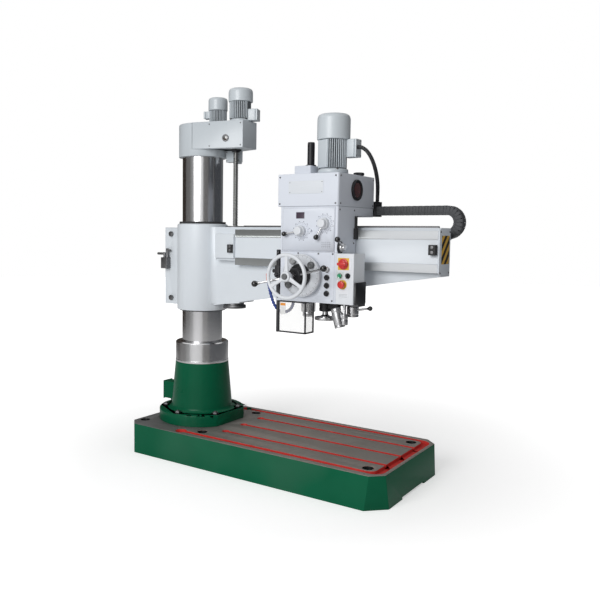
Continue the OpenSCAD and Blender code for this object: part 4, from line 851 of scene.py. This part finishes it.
front += [(x, cover_low.y, z) for x in (0.816, 1.158) for z in (1.552, 1.694)]
piece("head_bolts", screw_heads(front, 0.0048, (0, -1, 0)), steel, "head")
side = [(head_high.x, y, z) for y in (-0.312, -0.15) for z in (1.345, 1.520)]
side += [(cover_high.x, y, z) for y in (-0.312, 0.064) for z in (1.552, 1.694)]
piece("side_bolts", screw_heads(side, 0.0048, (1, 0, 0)), steel, "head")

# Spindle motor on the head's cover, and the black tube over the splined end of the spindle, a
# moulded cap that is pushed over it.
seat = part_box("spindle_motor")[0].z
flange_motor("spindle_motor", (1.032, -0.140, seat), 0.180, 0.316, 0.42, 0, (0.066, 0.064, 0.096), 0.083,
             44, -110, 0.026)
tube_low, tube_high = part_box("spindle_tube")
at = (tube_low.x + tube_high.x) / 2, (tube_low.y + tube_high.y) / 2, 0
form = turned([(0.0195, tube_low.z), (0.0288, tube_low.z), (0.0288, tube_low.z + 0.006),
               (0.0200, tube_low.z + 0.008), (0.0200, tube_high.z - 0.012), (0.0185, tube_high.z),
               (0.006, tube_high.z), (0, tube_high.z - 0.001)], at, sides=56, round_off=0.001)
piece("spline_tube", form, black, "head", "spindle_tube")

# Sight window: a black bezel with a dark red glass, on four screws. Filler cap: a black knurled
# plug in the top of the head.
lens = mottled("window_glass", 60, 3, (0.060, 0.010, 0.010), (0.12, 0.026, 0.022), slot="sight_glass",
               coat_weight=1.0, roughness=0.1)
win_low, win_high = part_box("sight_window")
win = (win_low.x, (win_low.y + win_high.y) / 2, (win_low.z + win_high.z) / 2)
form = turned([(0.0, 0.0), (0.056, 0), (0.056, 0.010), (0.0535, 0.014), (0.0465, 0.014), (0.044, 0.0085),
               (0.040, 0.0085), (0.040, 0.0), (0, 0)], win, (1, 0, 0), 80, 0.0012)
piece("window_ring", form, black, "head", "sight_window")
form = turned([(0.0405, 0.006), (0.0405, 0.0088), (0.030, 0.0100), (0.015, 0.0106), (0, 0.0108)],
              win, (1, 0, 0), 64)
piece("window_lens", form, lens, "head")
spots = [(win_low.x + 0.0138, win[1] + 0.050 * math.cos(a), win[2] + 0.050 * math.sin(a))
         for a in np.radians((45, 135, 225, 315))]
piece("window_screws", screw_heads(spots, 0.0024, (1, 0, 0)), steel, "head")
cap_low, cap_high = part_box("filler_cap")
at = np.array(((cap_low.x + cap_high.x) / 2, (cap_low.y + cap_high.y) / 2, cap_low.z))
a = np.linspace(0, 2 * math.pi, 145)[:-1]
wave = 1 + 0.04 * np.cos(24 * a)
outline = ((0.001, 0.0, 1), (0.024, 0.0, 1), (0.024, 0.004, 1), (0.0285, 0.005, 1), (0.0285, 0.006, wave),
           (0.0285, 0.016, wave), (0.026, 0.0195, 1), (0.020, 0.0205, 1), (0.017, 0.0195, 1),
           (0.001, 0.0190, 1))
rows = [np.stack([r * k * np.cos(a), r * k * np.sin(a), np.full(144, h)], 1) for r, h, k in outline]
form = (np.concatenate(rows) + at, grid_faces(len(rows), 144))
piece("filler_plug", form, black, "head", "filler_cap", 40)

# Name plate: a sheet of brushed aluminium on four rivets. It's left bare, without the print of the
# real one.
plate = mottled("plate_metal", 300, 3, (0.66, 0.69, 0.73), (0.73, 0.76, 0.80), (0.35, 0.15),
                (0.03, 1, 1), specular_ior_level=0.2)
plate_low, plate_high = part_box("name_plate")
piece("maker_plate", rounded_box(plate_low, plate_high, 0.0006, 2), plate, "head", "name_plate")
spots = [(x, plate_low.y + 0.0002, z) for x in (plate_low.x + 0.008, plate_high.x - 0.008)
         for z in (plate_low.z + 0.008, plate_high.z - 0.008)]
piece("plate_rivets", screw_heads(spots, 0.0022, (0, -1, 0)), steel, "head")

# Front panel: a printed sheet with a small dark display, two turning knobs for speed and feed,
# each in a ring of printed marks, and the gear symbols beside them.
panel = enamel("panel_enamel", "panel_paint", (0.71, 0.745, 0.815), (0.67, 0.705, 0.775), 0.30)
x, y, z = (panel.axis(k) for k in "XYZ")
ink = 0.0
knobs = [(0.955, 1.408), (1.097, 1.447)]
for kx, kz in knobs:
    dx, dz = x - kx, z - kz
    away = (dx * dx + dz * dz).maths("SQRT")
    turns = dz.maths("ARCTAN2", dx) * (0.5 / math.pi)
    marks = turns.stripes(24, 0.40, 0.60) * away.between(0.0400, 0.0445)
    dots = turns.stripes(12, 0.38, 0.62) * away.between(0.0485, 0.0530)
    ink = marks + away.between(0.0452, 0.0458) + dots + ink
rim = (x.between(0.8365, 0.8373) + x.between(1.1517, 1.1525)) * z.between(1.3045, 1.5285)
rim = rim + (z.between(1.3045, 1.3053) + z.between(1.5277, 1.5285)) * x.between(0.8365, 1.1525)
chart = x.stripes(90, 0.42, 0.50) + z.stripes(90, 0.42, 0.50)
chart = chart * x.between(1.078, 1.134) * z.between(1.318, 1.352)
ink = (ink + rim + chart).maths("MINIMUM", 1.0) * (y < -0.3338)
face = x.between(0.9205, 0.9715) * z.between(1.4735, 1.5065) * (y > -0.3338)
digit = x.stripes(120, 0.25, 0.75) * z.stripes(120, 0.15, 0.85)
screen = panel.mix(digit * 0.6, (0.050, 0.036, 0.052), (0.085, 0.055, 0.085))
panel.surface(base_color=panel.mix(face, panel.mix(ink * 0.72, panel.colour, (0.09, 0.10, 0.13)), screen))
softened("front_panel", 0.0008, panel, 2)

knob_white = mottled("dial_metal", 60, 3, (0.66, 0.685, 0.72), (0.76, 0.785, 0.82), (0.28, 0.15),
                     coat_weight=0.3)
lever_steel = mottled("lever_steel", 160, 4, (0.46, 0.46, 0.47), (0.66, 0.66, 0.67), (0.20, 0.12),
                      metallic=1.0)
ball_black = mottled("ball_black", 90, 2, (0.004, 0.004, 0.0045), (0.009, 0.009, 0.010), (0.15, 0.1),
                     slot="black_plastic", coat_weight=0.3, coat_roughness=0.1)


def ball(middle, radius, way, rows=20):
    """Ball knob: half circles turned about the lever, with a short neck on the lever's side."""
    t = np.linspace(math.pi, 0.001, rows)
    profile = [(radius * 0.45, -radius * 1.22), (radius * 0.50, -radius * 1.2)]
    profile += [(radius * math.sin(k), radius * math.cos(k)) for k in t if math.sin(k) > 0.5 or k < 1.6]
    return turned([(0, -radius * 1.22)] + profile, middle, way, 40)


dials = (("feed_dial", knobs[0], 190, 0.098, 0.018), ("speed_dial", knobs[1], 242, 0.082, 0.020))
for node, (kx, kz), bearing, reach, stand in dials:
    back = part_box(node)[1].y
    body = frame["nodes"][node]["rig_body"]
    a = math.radians(bearing)
    way = np.array((math.cos(a), 0, math.sin(a)))
    knob = turned([(0, 0), (0.0298, 0), (0.0300, 0.003), (0.0290, 0.0185), (0.0255, 0.0215),
                   (0.0245, 0.0225), (0.0225, 0.0395), (0.0205, 0.0418), (0, 0.0420)],
                  (kx, back - 0.0003, kz), (0, -1, 0), 72, 0.0018)
    piece(node + "_knob", knob, knob_white, body, node, 32)
    start = np.array((kx, back - 0.011, kz)) + way * 0.024
    middle = np.array((kx, back - stand, kz)) + way * reach
    length = np.linalg.norm(middle - start)
    steer = (middle - start) / length
    rod = swept([start + steer * s for s in np.linspace(0, length - 0.012, 6)], 0.0042)
    piece(node + "_rod", rod, lever_steel, body)
    piece(node + "_ball", ball(middle, 0.0135, steer), ball_black, body, smooth=40)

# Side lever: a turned steel hub on the head's right side with a slim rod and a black ball, over a
# black ring that is glued to the casting.
lever_at = (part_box("side_lever")[0].x, -0.300, 1.323)
hub = turned([(0, 0), (0.022, 0), (0.022, 0.016), (0.019, 0.020), (0.016, 0.0235), (0.016, 0.0285),
              (0.0145, 0.030), (0, 0.030)], lever_at, (1, 0, 0), 56, 0.0012)
way = np.array((0, -math.sin(math.radians(58)), math.cos(math.radians(58))))
start = np.array((1.192, -0.300, 1.323))
rod = swept([start + way * s for s in (0.006, 0.02, 0.04, 0.060, 0.072)],
            (0.0066, 0.0062, 0.0055, 0.0050, 0.0048), 18)
piece("side_lever_hub", joined(hub, rod), lever_steel, "side_lever", "side_lever")
piece("side_lever_ball", ball(start + way * 0.080, 0.015, way), ball_black, "side_lever", smooth=40)
label_ring = turned([(0.0225, 0), (0.034, 0), (0.034, 0.0012), (0.0225, 0.0012)], lever_at, (1, 0, 0), 48)
piece("side_lever_scale", label_ring, black, "head")

# Traverse handwheel: cast light alloy, sprayed light grey, rim 20 mm thick on three flat spokes,
# with a grey cap over the nut. Its shaft runs through the capstan.
wheel_paint = enamel("wheel_enamel", "wheel_metal", (0.73, 0.755, 0.79), (0.69, 0.715, 0.75), 0.24)
wheel_at = np.array((0.970, -0.500, 1.172))
rim_r, rim_half = 0.1115, 0.0098
t = np.linspace(0, 2 * math.pi, 33)
rim = turned([(rim_r + rim_half * math.cos(k), rim_half * math.sin(k)) for k in t], wheel_at, (0, -1, 0),
             128)
parts = [rim, turned([(0.0155, -0.014), (0.0255, -0.014), (0.0270, -0.010), (0.0270, 0.012),
                      (0.0240, 0.0155), (0.0155, 0.016)], wheel_at, (0, -1, 0), 64, 0.0012)]
for a in np.radians((90, 210, 330)):
    along, beside = np.array((math.cos(a), 0, math.sin(a))), np.array((-math.sin(a), 0, math.cos(a)))
    rows = []
    for s, wide, thick in ((0.019, 0.0150, 0.0070), (0.034, 0.0112, 0.0062), (0.055, 0.0098, 0.0056),
                           (0.080, 0.0092, 0.0052), (0.097, 0.0100, 0.0056), (0.1075, 0.0145, 0.0070)):
        k = np.linspace(0, 2 * math.pi, 25)[:-1]
        u = np.sign(np.cos(k)) * np.abs(np.cos(k)) ** 0.6 * wide
        w = np.sign(np.sin(k)) * np.abs(np.sin(k)) ** 0.6 * thick
        rows.append(wheel_at + along * s + u[:, None] * beside + w[:, None] * np.array((0, -1, 0)))
    parts.append((np.concatenate(rows), grid_faces(len(rows), 24)))
piece("wheel_rim", joined(*parts), wheel_paint, "handwheel", "traverse_wheel", 42)
shaft = turned([(0, -0.0139), (0.0148, -0.0139), (0.0148, -0.165), (0.0140, -0.209), (0, -0.209)],
               wheel_at, (0, -1, 0), 40)
piece("wheel_shaft", shaft, lever_steel, "handwheel")
nut = turned([(0.0158, 0.0145), (0.0152, 0.0240), (0.0135, 0.0260), (0.005, 0.0262), (0, 0.0255)],
             wheel_at, (0, -1, 0), 48, 0.001)
cap_grey = mottled("grey_plastic", 120, 3, (0.085, 0.09, 0.095), (0.15, 0.155, 0.16), roughness=0.4)
piece("wheel_nut", nut, cap_grey, "handwheel")

# Capstan: a graduated light disc, a black hub with three knobs that set the depth stop, and two
# levers with black balls that move the quill.
capstan_at = (0.970, -0.338, 1.172)
dial = Finish("dial_disc", "dial_metal", coat_weight=0.2)
x, y, z = (dial.axis(k) for k in "XYZ")
dx, dz = x - 0.970, z - 1.172
away = (dx * dx + dz * dz).maths("SQRT")
turns = dz.maths("ARCTAN2", dx) * (0.5 / math.pi)
fine = turns.stripes(120, 0.40, 0.60) * away.between(0.104, 0.1095)
coarse = turns.stripes(24, 0.46, 0.54) * away.between(0.098, 0.1095)
ink = (fine + coarse + away.between(0.1090, 0.1097)).maths("MINIMUM", 1.0) * (y < -0.3615)
cloud = dial.noise(40, 4)
colour = dial.mix(cloud, (0.65, 0.675, 0.715), (0.73, 0.755, 0.795))
dial.surface(base_color=dial.mix(ink * 0.75, colour, (0.05, 0.05, 0.055)), roughness=cloud * 0.15 + 0.30)
disc = turned([(0.026, 0.0), (0.1125, 0.0), (0.114, 0.0015), (0.114, 0.0225), (0.1125, 0.024),
               (0.068, 0.024), (0.066, 0.0225), (0.062, 0.0225), (0.026, 0.0225)],
              capstan_at, (0, -1, 0), 128, 0.0008)
piece("capstan_disc", disc, dial, "capstan", "capstan_hub", 32)
hub = turned([(0.0156, 0.0), (0.026, 0.0), (0.026, -0.070), (0.0156, -0.070)], capstan_at, (0, -1, 0), 48)
piece("capstan_sleeve", hub, steel, "capstan")
hub = turned([(0.0156, 0.022), (0.0620, 0.022), (0.0620, 0.040), (0.0590, 0.0445), (0.0440, 0.0460),
              (0.0400, 0.0480), (0.0400, 0.0860), (0.0370, 0.0910), (0.0300, 0.0920), (0.0156, 0.0920)],
             capstan_at, (0, -1, 0), 96, 0.002)
piece("capstan_drum", hub, black, "capstan")
knobs = []
for a in np.radians((40, 120, 216)):
    at = (0.970 + 0.088 * math.cos(a), -0.362, 1.172 + 0.088 * math.sin(a))
    k = np.linspace(0, 2 * math.pi, 49)[:-1]
    wave = 1 + 0.045 * np.cos(12 * k)
    outline = ((0.0185, 0.0, 1), (0.0190, 0.002, 1), (0.0190, 0.0035, wave), (0.0190, 0.0125, wave),
               (0.0165, 0.0160, 1), (0.0110, 0.0178, 1), (0.0080, 0.0150, 1), (0.0001, 0.0150, 1))
    rows = [np.stack([r * w * np.cos(k), np.full(48, -h), r * w * np.sin(k)], 1) + np.array(at)
            for r, h, w in outline]
    knobs.append((np.concatenate(rows), grid_faces(8, 48)))
silver = mottled("silver_plastic", 120, 3, (0.30, 0.31, 0.32), (0.42, 0.43, 0.44), slot="grey_plastic",
                 roughness=0.3, coat_weight=0.3)
piece("capstan_knobs", joined(*knobs[::2]), cap_grey, "capstan", smooth=45)
piece("capstan_knob_upper", knobs[1], silver, "capstan", smooth=45)
rise, outward = np.radians((13, 20))
start = np.array((0.970, -0.406, 1.172))
parts, balls = [], []
for sign in (1, -1):
    along = sign * math.cos(outward)
    way = np.array((along * math.cos(rise), -math.sin(outward), along * math.sin(rise)))
    stations = ((0.027, 0.0069), (0.060, 0.0069), (0.120, 0.0062), (0.180, 0.0056), (0.200, 0.0056),
                (0.206, 0.0080), (0.212, 0.0082))
    parts.append(swept([start + way * d for d, r in stations], [r for d, r in stations], 20))
    balls.append(ball(start + way * 0.230, 0.0170, way))
piece("capstan_rods", joined(*parts), lever_steel, "capstan", "capstan_levers")
piece("capstan_balls", joined(*balls), ball_black, "capstan", smooth=40)

# Push buttons on the front: flat moulded caps in thin steel bezels, one silver and three black,
# each fixed from behind.
chrome = mottled("bezel_steel", 200, 3, (0.42, 0.42, 0.43), (0.60, 0.60, 0.61), (0.2, 0.1),
                 slot="lever_steel", metallic=1.0)


def front_place(node):
    """Middle of the back of a node that faces the operator, and how far it stands out."""
    low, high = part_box(node)
    return ((low.x + high.x) / 2, high.y, (low.z + high.z) / 2), high.y - low.y


def button_cap(node, finish, radius):
    """Round push button: a turned cap with a soft edge and a shallow dish."""
    at, h = front_place(node)
    cap = turned([(0, 0.0005), (radius, 0.0005), (radius, h - 0.002), (radius - 0.0014, h - 0.0002),
                  (radius * 0.75, h), (radius * 0.4, h - 0.0010), (0, h - 0.0013)],
                 at, (0, -1, 0), 48, 0.0006)
    piece(node + "_cap", cap, finish, frame["nodes"][node]["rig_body"], node)
    return at


rings = []
for number in (1, 2, 3, 4):
    at = button_cap("button_%d" % number, silver if number == 1 else black, 0.0135)
    rings.append(turned([(0.0139, 0), (0.0165, 0), (0.0165, 0.0022), (0.0150, 0.0032), (0.0139, 0.0030)],
                        (at[0], -0.330, at[2]), (0, -1, 0), 48))
piece("button_rings", joined(*rings), chrome, "head")

# Switch box: a sheet steel box on the head's right side. A rotary main switch and the emergency
# stop sit on yellow plates, with a green start button and a black selector between them.
box_paint = enamel("box_enamel", "grey_paint", (0.76, 0.785, 0.82), (0.73, 0.755, 0.79), 0.30)
x, y, z = (box_paint.axis(k) for k in "XYZ")
raised = y < -0.3403
main_plate = raised * x.between(1.184, 1.248) * z.between(1.209, 1.271)
dx, dz = x - 1.212, z - 1.134
stop_plate = raised * ((dx * dx + dz * dz) < 0.0250 ** 2)
yellow = main_plate.maths("MAXIMUM", stop_plate)
cloud = box_paint.noise(50, 3)
label = raised * x.between(1.1860, 1.2480) * z.between(1.0610, 1.0940)
rows = label * z.stripes(150, 0.35, 0.65) * x.between(1.192, 1.242) * z.between(1.066, 1.089)
small = raised * x.between(1.176, 1.216) * z.between(1.159, 1.199)
colour = box_paint.mix(yellow, box_paint.colour,
                       box_paint.mix(cloud, (0.70, 0.40, 0.03), (0.82, 0.50, 0.06)))
colour = box_paint.mix(rows * 0.5, colour, (0.16, 0.17, 0.19))
colour = box_paint.mix(small * 0.5, colour, (0.52, 0.66, 0.60))
colour = box_paint.mix(x > 1.2745, colour, (0.010, 0.010, 0.012))
box_paint.surface(base_color=colour)
softened("switch_box", 0.0004, box_paint, 2)
red = mottled("red_plastic", 60, 3, (0.56, 0.018, 0.016), (0.66, 0.030, 0.024), (0.22, 0.15),
              coat_weight=0.4)
green_cap = mottled("green_plastic", 60, 3, (0.010, 0.26, 0.11), (0.020, 0.36, 0.17), (0.22, 0.15),
                    coat_weight=0.4)
at, h = front_place("main_switch")
base = turned([(0, 0), (0.028, 0), (0.028, 0.006), (0.0265, 0.008), (0.0205, 0.0082), (0.0198, 0.0165),
               (0.0185, 0.018), (0, 0.018)], at, (0, -1, 0), 72, 0.0008)
grip = rounded_box((at[0] - 0.0255, at[1] - h, at[2] - 0.0068),
                   (at[0] + 0.0255, at[1] - 0.008, at[2] + 0.0068), 0.003)
piece("main_switch_grip", joined(base, grip), red, "main_switch", "main_switch")
at = button_cap("start_button", green_cap, 0.0110)
ring = turned([(0.0114, 0), (0.0145, 0), (0.0145, 0.0030), (0.0130, 0.0042), (0.0114, 0.0040)],
              (at[0], -0.3415, at[2]), (0, -1, 0), 48)
piece("start_ring", ring, chrome, "head")
at, h = front_place("selector")
base = turned([(0, 0.0002), (0.014, 0.0002), (0.014, 0.0045), (0.0125, 0.006), (0, 0.006)],
              at, (0, -1, 0), 48, 0.0006)
grip = rounded_box((at[0] - 0.0039, at[1] - h, at[2] - 0.0128),
                   (at[0] + 0.0039, at[1] - 0.0055, at[2] + 0.0128), 0.0018)
piece("selector_grip", joined(base, grip), black, "selector", "selector")
at, h = front_place("stop_button")
mushroom = turned([(0, 0.0002), (0.0110, 0.0002), (0.0110, h - 0.0105), (0.0190, h - 0.0100),
                   (0.0200, h - 0.0080), (0.0194, h - 0.0040), (0.0165, h - 0.0010), (0.0100, h), (0, h)],
                  at, (0, -1, 0), 64, 0.0012)
piece("stop_mushroom", mushroom, red, "stop_button", "stop_button")

# Quill and spindle: turned and ground steel like the column. The spindle runs in the quill, and its
# nose holds the taper socket.
softened("quill", 0.0012, bright, 2, 40)
softened("spindle", 0.0012, bright, 2, 40)

# Fine feed wheel under the head: a dished steel wheel, turned in one with its neck, under a black
# hub on the same shaft.
low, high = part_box("fine_feed_wheel")
at = np.array(((low.x + high.x) / 2, (low.y + high.y) / 2, 0))
r = (high.x - low.x) / 2
wheel = turned([(0, low.z + 0.0005), (0.024, low.z + 0.0005), (0.026, low.z + 0.002),
                (0.028, low.z + 0.0085), (r - 0.014, low.z + 0.0085), (r - 0.012, low.z + 0.001),
                (r - 0.002, low.z), (r, low.z + 0.002), (r, low.z + 0.016), (r - 0.002, low.z + 0.018),
                (r - 0.0085, low.z + 0.018), (r - 0.0105, low.z + 0.0115), (0.0300, low.z + 0.0115),
                (0.0295, low.z + 0.018), (0.0240, low.z + 0.0245), (0.0165, low.z + 0.031),
                (0.0160, low.z + 0.034), (0.0160, low.z + 0.049), (0, low.z + 0.049)],
               at, sides=96, round_off=0.0015)
piece("fine_wheel_rim", wheel, lever_steel, "fine_feed_wheel", "fine_feed_wheel")
hub = turned([(0, low.z + 0.0482), (0.0320, low.z + 0.0482), (0.0340, low.z + 0.051),
              (0.0340, low.z + 0.066), (0.0325, low.z + 0.068), (0.0325, low.z + 0.071),
              (0.0340, low.z + 0.073), (0.0340, low.z + 0.098), (0.0320, low.z + 0.100),
              (0.0200, low.z + 0.1002), (0.0200, high.z - 0.0002), (0, high.z - 0.0002)],
             at, sides=72, round_off=0.0012)
piece("fine_wheel_hub", hub, black, "fine_feed_wheel")

# Lock lever: a turned steel hub that clamps the head on the arm, with a screwed-in rod and a
# black ball.
at = np.array((1.188, -0.172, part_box("lock_lever")[0].z))
hub = turned([(0, 0), (0.0300, 0), (0.0320, 0.002), (0.0320, 0.0105), (0.0308, 0.012), (0.0308, 0.014),
              (0.0320, 0.0155), (0.0320, 0.0535), (0.0300, 0.0550), (0.0220, 0.0552), (0.0220, 0.0588),
              (0, 0.0588)], at, sides=80, round_off=0.0008)
way = np.array((0.98481, 0, 0.17365))
start = at + np.array((0, 0, 0.034))
stations = ((0.028, 0.0060), (0.060, 0.0058), (0.080, 0.0052), (0.093, 0.0052))
rod = swept([start + way * d for d, r in stations], [r for d, r in stations], 18)
piece("lock_hub", joined(hub, rod), lever_steel, "lock_lever", "lock_lever")
piece("lock_ball", ball(start + way * 0.104, 0.0129, way), ball_black, "lock_lever", smooth=40)

# Work lamp: a turned aluminium tube with a lens, tilted under a black bracket, with its swivel. The
# bracket is screwed to the underside of the head.
lamp_metal = mottled("lamp_metal", 180, 4, (0.46, 0.46, 0.47), (0.64, 0.64, 0.65), (0.22, 0.12),
                     (0.1, 0.1, 1), metallic=1.0)
at = np.array((1.120, -0.246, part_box("work_lamp")[1].z))
foot = rounded_box(at + np.array((-0.034, -0.016, -0.034)), at + np.array((0.024, 0.022, -0.0002)), 0.002)
arm = swept([at + np.array(p) for p in ((0.010, 0.006, -0.030), (0.026, 0.010, -0.050),
                                        (0.040, 0.010, -0.072))], 0.0075, 14)
piece("lamp_foot", joined(foot, arm), black, "head", "work_lamp")
tilt = math.radians(164)
way = np.array((math.sin(tilt), 0, math.cos(tilt)))
tube = turned([(0, 0.009), (0.024, 0.009), (0.028, 0.013), (0.028, 0.030), (0.0268, 0.032),
               (0.0268, 0.036), (0.028, 0.038), (0.028, 0.100), (0.0265, 0.102), (0.0265, 0.105),
               (0.028, 0.107), (0.028, 0.1165), (0.0270, 0.1178), (0.0240, 0.1178), (0.0240, 0.112),
               (0, 0.111)], at + np.array((0, 0, -0.020)), way, 64, 0.0008)
swivel = turned([(0, -0.118), (0.0175, -0.118), (0.0200, -0.1155), (0.0200, -0.090), (0.0188, -0.088),
                 (0.0188, -0.084), (0.0200, -0.082), (0.0200, -0.062), (0.0185, -0.060),
                 (0.0090, -0.0595), (0.0090, -0.0003), (0, -0.0003)],
                at + np.array((0.052, 0.008, 0)), sides=56, round_off=0.0008)
piece("lamp_tube", joined(tube, swivel), lamp_metal, "head")

# Chip guard: a dark frame of thin steel bars with clear panels, swung on a post at its left. A bare
# white tag with an orange band is stuck to its front.
guard_metal = mottled("guard_metal", 200, 3, (0.020, 0.020, 0.023), (0.050, 0.050, 0.055), (0.35, 0.2),
                      slot="black_metal", metallic=0.4)
low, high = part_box("guard_frame")
xa, xb, ya, yb, za, zb = low.x, high.x, low.y + 0.006, high.y, low.z, high.z - 0.018
bars = [((xa, ya, za), (xa + 0.020, ya + 0.008, zb)), ((xb - 0.008, ya, za), (xb, ya + 0.008, zb)),
        ((xa, ya, za), (xb, ya + 0.008, za + 0.008)), ((xa, ya, zb - 0.008), (xb, ya + 0.008, zb)),
        ((xb - 0.008, ya, za), (xb, yb, za + 0.008)), ((xb - 0.008, ya, zb - 0.008), (xb, yb, zb)),
        ((xb - 0.008, yb - 0.008, za), (xb, yb, zb))]
tall = zb - za
hinge = turned([(0, 0), (0.010, 0), (0.010, tall), (0.006, tall), (0.006, tall + 0.018),
                (0, tall + 0.018)], (xa + 0.010, ya + 0.004, za), sides=32, round_off=0.0012)
form = joined(hinge, *[rounded_box(a, b, 0.0012, 2) for a, b in bars])
piece("guard_bars", form, guard_metal, "guard", "guard_frame")
softened("guard_rail", 0.0015, guard_metal)
clear = Finish("clear_plastic", roughness=0.3, specular_ior_level=0.05)
haze = clear.noise(8, 4)
clear.surface(base_color=clear.mix(haze, (0.60, 0.595, 0.59), (0.68, 0.675, 0.67)),
              alpha=haze * 0.06 + 0.20)
low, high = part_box("guard_panels")
front_sheet = rounded_box(low, (high.x - 0.0055, low.y + 0.003, high.z), 0.0006, 1)
side_sheet = rounded_box((high.x - 0.003, low.y + 0.0055, low.z), high, 0.0006, 1)
piece("guard_sheets", joined(front_sheet, side_sheet), clear, "guard", "guard_panels")
tag_paper = Finish("tag_paper", "plate_metal", roughness=0.5)
x, z = tag_paper.axis("X"), tag_paper.axis("Z")
band = z.between(0.9990, 1.0130)
lines = z.stripes(260, 0.3, 0.6) * z.between(0.955, 0.990) * x.between(0.822, 0.846)
printed = tag_paper.mix(lines * 0.35, (0.80, 0.80, 0.80), (0.3, 0.3, 0.3))
tag_paper.surface(base_color=tag_paper.mix(band, printed, (0.78, 0.28, 0.03)))
piece("guard_tag", rounded_box((0.816, -0.3166, 0.950), (0.850, -0.3154, 1.016), 0.0004, 1), tag_paper,
      "guard")
